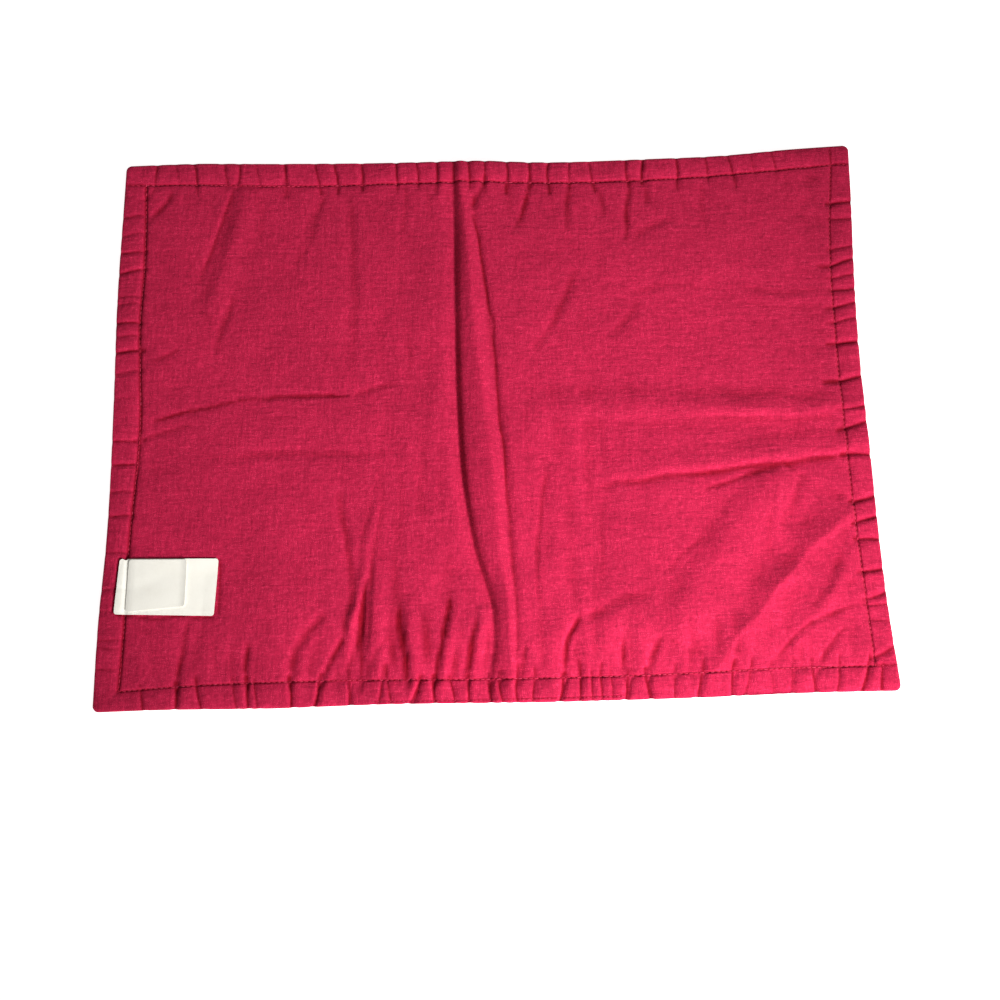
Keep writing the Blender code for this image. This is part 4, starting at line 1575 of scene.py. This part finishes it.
@dataclass(frozen=True)
class Studio:
    """A plain pale floor, one soft lamp, an even sky and the camera, in metres."""

    floor_size: float = 6.0
    floor_height: float = -0.0003
    floor_colour: Colour = (0.86, 0.86, 0.86, 1.0)
    floor_glow: float = 0.8
    floor_roughness: float = 0.9
    floor_specular: float = 0.1
    white: Colour = (1.0, 1.0, 1.0, 1.0)
    sky: float = 0.24
    lamp_place: Triple = (0.5, -0.65, 0.45)
    lamp_aim: Triple = (0.0, 0.0, 0.0)
    lamp_size: float = 0.26
    lamp_spread: float = 50.0       # degrees
    lamp_power: float = 85.0
    camera_place: Triple = (0.00396, -0.1674, 0.5700)
    camera_right: Triple = (0.9997, -0.0238, -0.0048)
    camera_ahead: Triple = (0.0, 0.1984, -0.9801)
    camera_near: float = 0.01
    sensor: float = 36.0            # mm, as the lens
    lens: float = 36.0

    def floor(self) -> None:
        """Lay the floor."""
        half = self.floor_size / 2
        corners = [(x * half, y * half, self.floor_height)
                   for x, y in ((-1, -1), (1, -1), (1, 1), (-1, 1))]
        mesh = bpy.data.meshes.new("floor")
        mesh.from_pydata(corners, [], [(0, 1, 2, 3)])
        material, _, _ = new_material("pale_floor", {
            "Base Color": self.floor_colour, "Roughness": self.floor_roughness,
            "Specular IOR Level": self.floor_specular, "Emission Color": self.white,
            "Emission Strength": self.floor_glow})
        mesh.materials.append(material)
        placed("floor", mesh)

    def lights(self) -> None:
        """Hang the lamp and light the sky."""
        lamp = bpy.data.lights.new("soft_lamp", "SPOT")
        lamp.shadow_soft_size = self.lamp_size / 2
        lamp.spot_size = np.radians(self.lamp_spread)
        lamp.spot_blend = 1.0
        lamp.energy = self.lamp_power
        holder = placed("soft_lamp", lamp)
        holder.location = self.lamp_place
        ahead = Vector(self.lamp_aim) - Vector(self.lamp_place)
        holder.rotation_euler = ahead.to_track_quat("-Z", "Y").to_euler()
        world = bpy.data.worlds.new("even_sky")
        world.use_nodes = True
        sky = world.node_tree.nodes["Background"]
        sky.inputs["Color"].default_value = self.white
        sky.inputs["Strength"].default_value = self.sky
        bpy.context.scene.world = world
        bpy.context.scene.view_settings.view_transform = "Standard"

    def camera(self) -> None:
        """Set up the camera."""
        right, ahead = (Vector(way).normalized() for way in (self.camera_right, self.camera_ahead))
        right = (right - ahead * right.dot(ahead)).normalized()
        up = right.cross(ahead)
        lens = bpy.data.cameras.new("camera")
        lens.sensor_width = self.sensor
        lens.lens = self.lens
        lens.clip_start = self.camera_near
        camera = placed("camera", lens)
        turn = Matrix((right, up, -ahead)).transposed().to_4x4()
        camera.matrix_world = Matrix.Translation(self.camera_place) @ turn
        bpy.context.scene.camera = camera


# ---- This mat --------------------

def puckers(*rows: tuple[float, float, float, float]) -> tuple[Pucker, ...]:
    """Return puckers from rows of edge place, stitch place, depth and tail."""
    return tuple(Pucker(*row) for row in rows)


LABEL_SPAN = (-114.0, -81.3)

HEM = {
    Side.TOP: HemSide(
        Side.TOP,
        SoftCurve(((-222, 165.6), (-188, 166.3), (-125, 164.9), (-63, 163.8), (0, 163.3),
                   (31, 161.8), (93, 162.0), (156, 163.6), (187, 166.1), (222, 168.0))),
        SewnLine(Side.TOP, SoftCurve(((-212, 151.9), (-180, 152.0), (-125, 149.8), (-20, 149.3),
                                      (60, 147.4), (110, 148.0), (160, 150.5),
                                      (214, 155.0))), (-223.5, 225),
                 groove_depth=0.6, groove_width=1.2, painted_groove_shade=0.8),
        puckers((-205, -206, 0.5, 2), (-194, -190, 0.3, 1), (-183, -178, 0.8, 6),
                (-165, -161, 0.6, 2), (-154, -155, 0.7, 2), (-146, -140, 0.25, 3),
                (-127, -124, 0.8, 5), (-107, -103, 0.6, 4), (-96, -92, 0.8, 6),
                (-78, -76, 0.9, 3), (-56, -55, 0.8, 6), (-43, -42, 0.6, 4), (-31, -30, 0.9, 7),
                (-12, -9.5, 0.7, 5), (-1, 0, 0.6, 8), (12.5, 13, 0.8, 6), (26, 27, 0.9, 3),
                (38, 38, 0.9, 8), (52, 51, 0.5, 3), (64, 67, 0.6, 5), (86, 87, 0.6, 3),
                (97, 96, 0.8, 3), (119, 118, 0.7, 7), (135, 137, 0.5, 3), (149, 154, 0.7, 9),
                (164, 167, 0.3, 3), (177, 180, 0.4, 4))),
    Side.BOTTOM: HemSide(
        Side.BOTTOM,
        SoftCurve(((-224, -167.5), (-194, -167.1), (-125, -167.7), (-69, -167.0), (29, -167.9),
                   (113, -167.4), (169, -166.3), (224, -166.3))),
        SewnLine(Side.BOTTOM, SoftCurve(((-213, -156.5), (-180, -154.5), (-100, -153.2),
                                         (0, -154.4), (100, -154.0), (150, -152.6),
                                         (223, -152.0))), (-214, 223.5),
                 painted_groove_shade=0.4),
        puckers((-197, -200, 0.5, 2), (-181, -180, 0.9, 2), (-164, -169, 0.6, 4),
                (-145, -149, 0.4, 2), (-139, -141, 0.9, 2), (-133, -137, 0.5, 2),
                (-114, -118, 0.9, 2), (-104, -99, 1.0, 2), (-82, -83, 0.9, 8), (-70, -64, 0.6, 7),
                (-60, -63, 0.6, 6), (-51, -42, 0.9, 2), (-35, -36, 1.0, 2), (-23, -27, 0.6, 2),
                (-16, -15, 0.9, 2), (-4, -4, 0.9, 4), (3, 1, 0.9, 4), (10, 11, 0.8, 6),
                (19, 20, 0.6, 5), (34, 36, 1.1, 2), (45, 46, 0.7, 8), (52, 53, 0.5, 3),
                (58, 58, 0.6, 6), (64, 63, 0.4, 3), (70, 73, 1.1, 3), (85, 83, 1.1, 3),
                (98, 100, 0.5, 5), (110, 115, 1.1, 6), (131, 132, 1.0, 4), (138, 143, 0.7, 5),
                (156, 154, 0.4, 3), (164, 167, 0.6, 4), (178, 177, 0.9, 3), (188, 192, 0.6, 6),
                (201, 208, 0.8, 6), (213, 215, 0.5, 3))),
    Side.LEFT: HemSide(
        Side.LEFT,
        SoftCurve(((-165, -226.6), (-119, -226.2), (-76, -224.2), (14, -224.2), (70, -225.3),
                   (165, -224.0))),
        SewnLine(Side.LEFT, SoftCurve(((-156, -212.8), (-120, -211.2), (-80, -210.9), (0, -207.8),
                                       (60, -210.7), (100, -209.8), (152, -210.9))), (-158, 153),
                 groove_depth=0.8, groove_width=1.8, painted_groove_shade=1.0, hidden=(LABEL_SPAN,)),
        puckers((130, 133, 0.4, 1), (118, 121, 0.4, 1), (108, 109, 0.6, 1), (93, 97, 0.6, 1),
                (79, 79, 0.3, 1), (74, 75, 0.3, 1), (61, 62, 0.5, 1), (53, 53, 0.3, 1),
                (43, 44, 0.7, 2), (28, 33, 0.4, 2), (15, 15, 0.25, 1), (-12, -11, 0.6, 3),
                (-26, -25, 0.5, 1), (-41, -41, 0.25, 1), (-56, -56, 0.4, 1), (-78, -78, 0.3, 1),
                (-100, -99, 0.3, 1), (-112, -112, 0.25, 1), (-127, -127, 0.4, 1),
                (-131, -133, 0.3, 1), (-144, -143, 0.25, 1)), (4.0, 3.6)),
    Side.RIGHT: HemSide(
        Side.RIGHT,
        SoftCurve(((-165, 224.9), (-116, 222.1), (-28, 220.8), (42, 220.4), (98, 222.7),
                   (131, 224.6), (166, 226.0))),
        SewnLine(Side.RIGHT, SoftCurve(((-152, 211.5), (-60, 208.0), (40, 206.7), (100, 208.5),
                                        (155, 214.0))), (-153, 166.5)),
        puckers((129, 128, 0.9, 2), (120, 118, 0.5, 1), (101, 98, 0.4, 1), (93, 87, 0.7, 7),
                (82, 79, 0.5, 3), (73, 71, 0.6, 3), (66, 60, 0.7, 4), (55, 50, 0.6, 4),
                (39, 37, 0.9, 5), (19, 14, 0.9, 9), (1, -4, 0.7, 4), (-9, -16, 0.8, 5),
                (-31, -31, 0.8, 2), (-54, -59, 0.8, 2), (-66, -72, 0.9, 2), (-81, -80, 0.6, 1),
                (-97, -100, 0.7, 2), (-109, -116, 0.8, 2), (-117, -119, 0.5, 2),
                (-128, -127, 0.3, 1), (-140, -148, 0.6, 2)),
        (4.0, 3.6)),
}
CLOSING = SewnLine(Side.BOTTOM, SoftCurve(((-75, -165.2), (0, -165.9), (75, -165.6))), (-71, 71),
                   groove_depth=0.25, groove_width=0.8, dip_depth=0.0, pitch=2.4)
CLOSING_STITCH = StitchTree(length=1.9, thread_radius=0.17, seed=11)
CLOSING_COLOUR = (0.3, 0.008, 0.03, 1.0)

LABEL_OUTLINE = (((-157.8, -82), (-158.6, -99), (-159.3, -116)),
                 ((-217, -114.2), (-188, -115.3), (-160, -116.4)),
                 ((-215.6, -81), (-216.7, -97), (-217.7, -113.6)))

# troughs also get painted shade along their lines, as far as they are pinched
CREASES = (
    # left half, upper part
    Crease(-1.0, 4, 9, (-157, 154), (-160, 128), (-177, 86), Fall.PINCHED),
    Crease(1.5, 9, 14, (-148, 147), (-152, 104), (-171, 66)),
    Crease(-0.7, 6, 4, (-154, 77), (-161, 60), (-165, 42)),
    Crease(-0.6, 6, 4, (-100, 150), (-105, 125), (-118, 96)),
    Crease(-0.6, 10, 5, (-85, 152), (-80, 95), (-82, 25)),
    Crease(-0.6, 4, 4, (-194, 150), (-197, 138), (-209, 127)),
    Crease(-0.5, 2.5, 2, (-214, 140), (-208, 147), (-200, 154)),
    Crease(-0.5, 4, 4, (-50, 152), (-50, 135), (-52, 116)),
    Crease(-0.35, 3, 3, (-186, 46), (-192, 40), (-204, 36)),
    # left half, the crease that runs across it and the weaker ones below
    Crease(-1.0, 2.0, 2.4, (-201, 0), (-137, 18.5), (-84, 12.5), Fall.SOFT, 0.1, 0.2),
    Crease(-0.35, 4, 4, (-84, 12), (-70, 16), (-54, 22)),
    Crease(-0.4, 3, 3, (-212, -12), (-195, -8), (-176, -3)),
    Crease(-0.4, 5, 6, (-172, -23), (-120, -21), (-58, -24)),
    Crease(0.7, 22, 22, (-130, -40), (-120, -75), (-135, -110)),
    # the cloth swells beside the bottom seam, which gathers it
    Crease(1.3, 28, 45, (-166, -124), (0, -127), (214, -124), Fall.SOFT, 0.08, 0.08),
    # the cloth dips along the label's outline, with a painted shadow line in each dip
    *(Crease(-0.8, 1.5, 1.5, *line, Fall.PINCHED, 0.05, 0.05) for line in LABEL_OUTLINE),
    # lower left, where the seam gathers the cloth
    Crease(-1.0, 5, 5, (-90, -46), (-83, -80), (-82, -118)),
    Crease(0.9, 4, 4, (-67, -45), (-74, -85), (-82, -128)),
    Crease(-1.5, 4, 2.4, (-75, -96), (-76, -125), (-77, -160)),
    Crease(0.9, 5, 4, (-80, -112), (-82, -130), (-87, -150)),
    Crease(1.1, 3, 12, (-68, -84), (-70, -118), (-71, -158)),
    Crease(0.9, 16, 18, (-44, -58), (-38, -95), (-40, -150)),
    Crease(-0.8, 4, 3, (-174, -118), (-178, -138), (-180, -158)),
    Crease(-0.9, 4, 3, (-140, -130), (-141, -145), (-141, -158)),
    Crease(-1.0, 6, 5, (-96, -114), (-115, -132), (-118, -158)),
    Crease(-1.0, 5, 3, (-86, -130), (-93, -140), (-99, -158)),
    Crease(-0.9, 4, 2.4, (-55, -114), (-51, -138), (-50, -160)),
    Crease(1.5, 3, 10, (-52, -106), (-48, -136), (-46, -160)),
    Crease(-1.1, 4, 2.2, (-26, -108), (-30, -134), (-36, -160)),
    Crease(1.5, 3, 9, (-22, -102), (-27, -132), (-31, -160)),
    Crease(-0.9, 4, 2.2, (-12, -122), (-15, -142), (-17, -160)),
    Crease(1.2, 3, 8, (-9, -114), (-12, -136), (-13, -160)),
    Crease(-0.7, 4, 2.4, (17, -136), (14, -146), (12, -160)),
    Crease(-0.5, 4, 3, (-60, -130), (-70, -140), (-74, -154)),
    # right half, upper part
    Crease(-0.9, 4, 3, (1, 153), (-2, 142), (-9, 130)),
    # the pinched line along the fold's foot, with painted shade along it
    Crease(-0.6, 2.4, 1.5, (-8, 128), (-3, 95), (1.5, 56), Fall.PINCHED, 0.1, 0.1),
    Crease(-0.6, 2.4, 1.5, (1.5, 62), (4.6, 15), (8.5, -62), Fall.PINCHED, 0.1, 0.15),
    Crease(-0.8, 3, 3, (28, 153), (26, 140), (16, 116)),
    Crease(-0.9, 5, 3, (88, 153), (88, 130), (84, 106)),
    Crease(-0.6, 4, 4, (98, 152), (98, 142), (98, 130)),
    Crease(-0.5, 4, 4, (52, 148), (50, 132), (47, 114)),
    Crease(-0.5, 5, 4, (67, 149), (71, 138), (72, 124)),
    Crease(-0.5, 7, 5, (131, 150), (132, 130), (134, 106)),
    Crease(0.5, 6, 5, (148, 71), (180, 64), (214, 69)),
    Crease(-0.45, 6, 4, (54, 90), (44, 62), (28, 38)),
    Crease(-0.35, 5, 5, (92, 72), (85, 58), (72, 44)),
    Crease(-0.35, 4, 7, (86, 106), (98, 118), (118, 119)),
    Crease(-0.3, 4, 5, (84, 72), (110, 80), (140, 76)),
    # right half, the swell and the step that run out to the right edge
    Crease(1.3, 13, 14, (22, 3), (110, -1), (226, -1)),
    Crease(1.1, 5.5, 11, (108, 0), (165, -3), (226, -3)),
    Crease(1.2, 5.5, 14, (56, -40), (140, -33), (228, -23), Fall.SOFT, 0.6, 0.1),
    Crease(-0.5, 6, 3, (56, -45), (140, -38), (228, -28)),
    Crease(-0.6, 3, 3, (122, -48), (146, -42), (168, -36)),
    # lower right
    Crease(-0.7, 6, 6, (90, -106), (64, -112), (44, -126)),
    Crease(-1.1, 4, 2.4, (48, -120), (37, -132), (37, -160)),
    Crease(2.2, 16, 17, (210, -62), (166, -92), (120, -156), Fall.PINCHED, 0.2, 0.1),
    Crease(1.6, 16, 28, (172, -36), (134, -76), (98, -134), Fall.SOFT, 0.2, 0.2),
    Crease(-0.5, 6, 6, (180, -40), (176, -54), (170, -66)),
    Crease(-0.5, 3, 3, (156, -148), (172, -124), (214, -117)),
    Crease(0.8, 5, 9, (204, -84), (196, -104), (178, -128)),
    Crease(-0.6, 3, 3, (170, -138), (171, -146), (172, -156)),
    Crease(-0.5, 3, 3, (72, -134), (70, -148), (71, -158)),
    Crease(-0.7, 4, 3, (92, -132), (86, -146), (84, -158)),
    Crease(-0.6, 3, 3, (198, -130), (184, -142), (178, -158)),
    Crease(-0.5, 4, 3, (32, -36), (22, -72), (25, -118)),
    Crease(-0.45, 8, 5, (62, -54), (64, -88), (56, -114)),
    Crease(-0.3, 3, 3, (98, -98), (106, -86), (120, -77)),
    Crease(0.4, 3, 6, (165, -40), (162, -62), (162, -90)),
)

UNEVENNESS = (
    # all over
    Unevenness(1.3, (60, 55), 19),
    Unevenness(0.8, (28, 24), 3),
    Unevenness(0.4, (10, 10), 5),
    # upright ripples beside the fold, and ripples that the four seams draw in
    Unevenness(0.6, (4.5, 26), 11, (-45, 0), (55, 200)),
    Unevenness(0.7, (5, 30), 13, (45, -50), (70, 150)),
    Unevenness(0.5, (7, 11), 43, (50, 70), (85, 120)),
    Unevenness(1.8, (5, 17), 17, (0, -142), (420, 42)),
    Unevenness(0.9, (5, 15), 23, (0, 146), (420, 32)),
    Unevenness(0.8, (15, 5), 27, (206, 0), (34, 300)),
    Unevenness(0.35, (13, 5), 33, (-206, 0), (28, 300)),
    Unevenness(0.8, (8, 8), 37, (165, -105), (90, 80)),
    Unevenness(0.6, (7, 12), 41, (20, -95), (160, 70)),
)

LONG_LEAF = RibbonLeaf(
    "ribbon_long_leaf",
    ((-214.8, -81.7), (-158.5, -82.7), (-160.0, -115.5), (-216.8, -113.3)), lift=0.12)
SHORT_LEAF = RibbonLeaf(
    "ribbon_short_leaf",
    ((-209.4, -82.3), (-176.2, -82.9), (-176.4, -109.7), (-210.2, -112.1)), lift=0.6, curl=0.5,
    relief=SoftCurve(((-4, 0.2), (0, 0.12), (0.8, 0.2), (2.6, 0.42), (4.4, 0.54), (8, 0.54),
                      (22, 0.5), (34, 0.52), (40, 0.52))))


def dress(piece: bpy.types.Object) -> bpy.types.Object:
    """Let a finished piece ride on the mat's body.

    Args:
        piece: The piece.

    Returns:
        The piece.
    """
    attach(piece, BODY)
    piece.data.calc_loop_triangles()
    LOG.info("%s: %d triangles", piece.name, len(piece.data.loop_triangles))
    return piece


def main() -> None:
    """Build the placemat and its studio."""
    logging.basicConfig(level=logging.INFO, format="%(name)s: %(message)s", stream=sys.stdout)
    studio = Studio()
    studio.camera()
    studio.floor()
    studio.lights()

    surface = ClothSurface(HEM, CLOSING, CentreFold(), CREASES, UNEVENNESS)
    weave = CrimsonWeave().material()
    panel = dress(MatPanel(surface).build(weave))
    hem = dress(TurnedHem(surface).build(weave))
    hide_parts("placemat")
    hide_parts("placemat")

    ribbon = CreamRibbon().material()
    long_leaf = dress(LONG_LEAF.build(surface, ribbon))
    short_leaf = dress(SHORT_LEAF.build(surface, ribbon))
    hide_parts("label_long_leaf")
    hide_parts("label_short_leaf")

    thread = SewingThread("topstitch_thread").material()
    topstitching = Topstitching("topstitching", tuple(side.seam for side in HEM.values()))
    stitches = dress(topstitching.build(surface, thread))
    dark_thread = SewingThread("closing_thread", CLOSING_COLOUR).material()
    closing = Topstitching("closing_stitches", (CLOSING,), CLOSING_STITCH)
    closing_piece = dress(closing.build(surface, dark_thread))


if __name__ == "__main__":
    main()
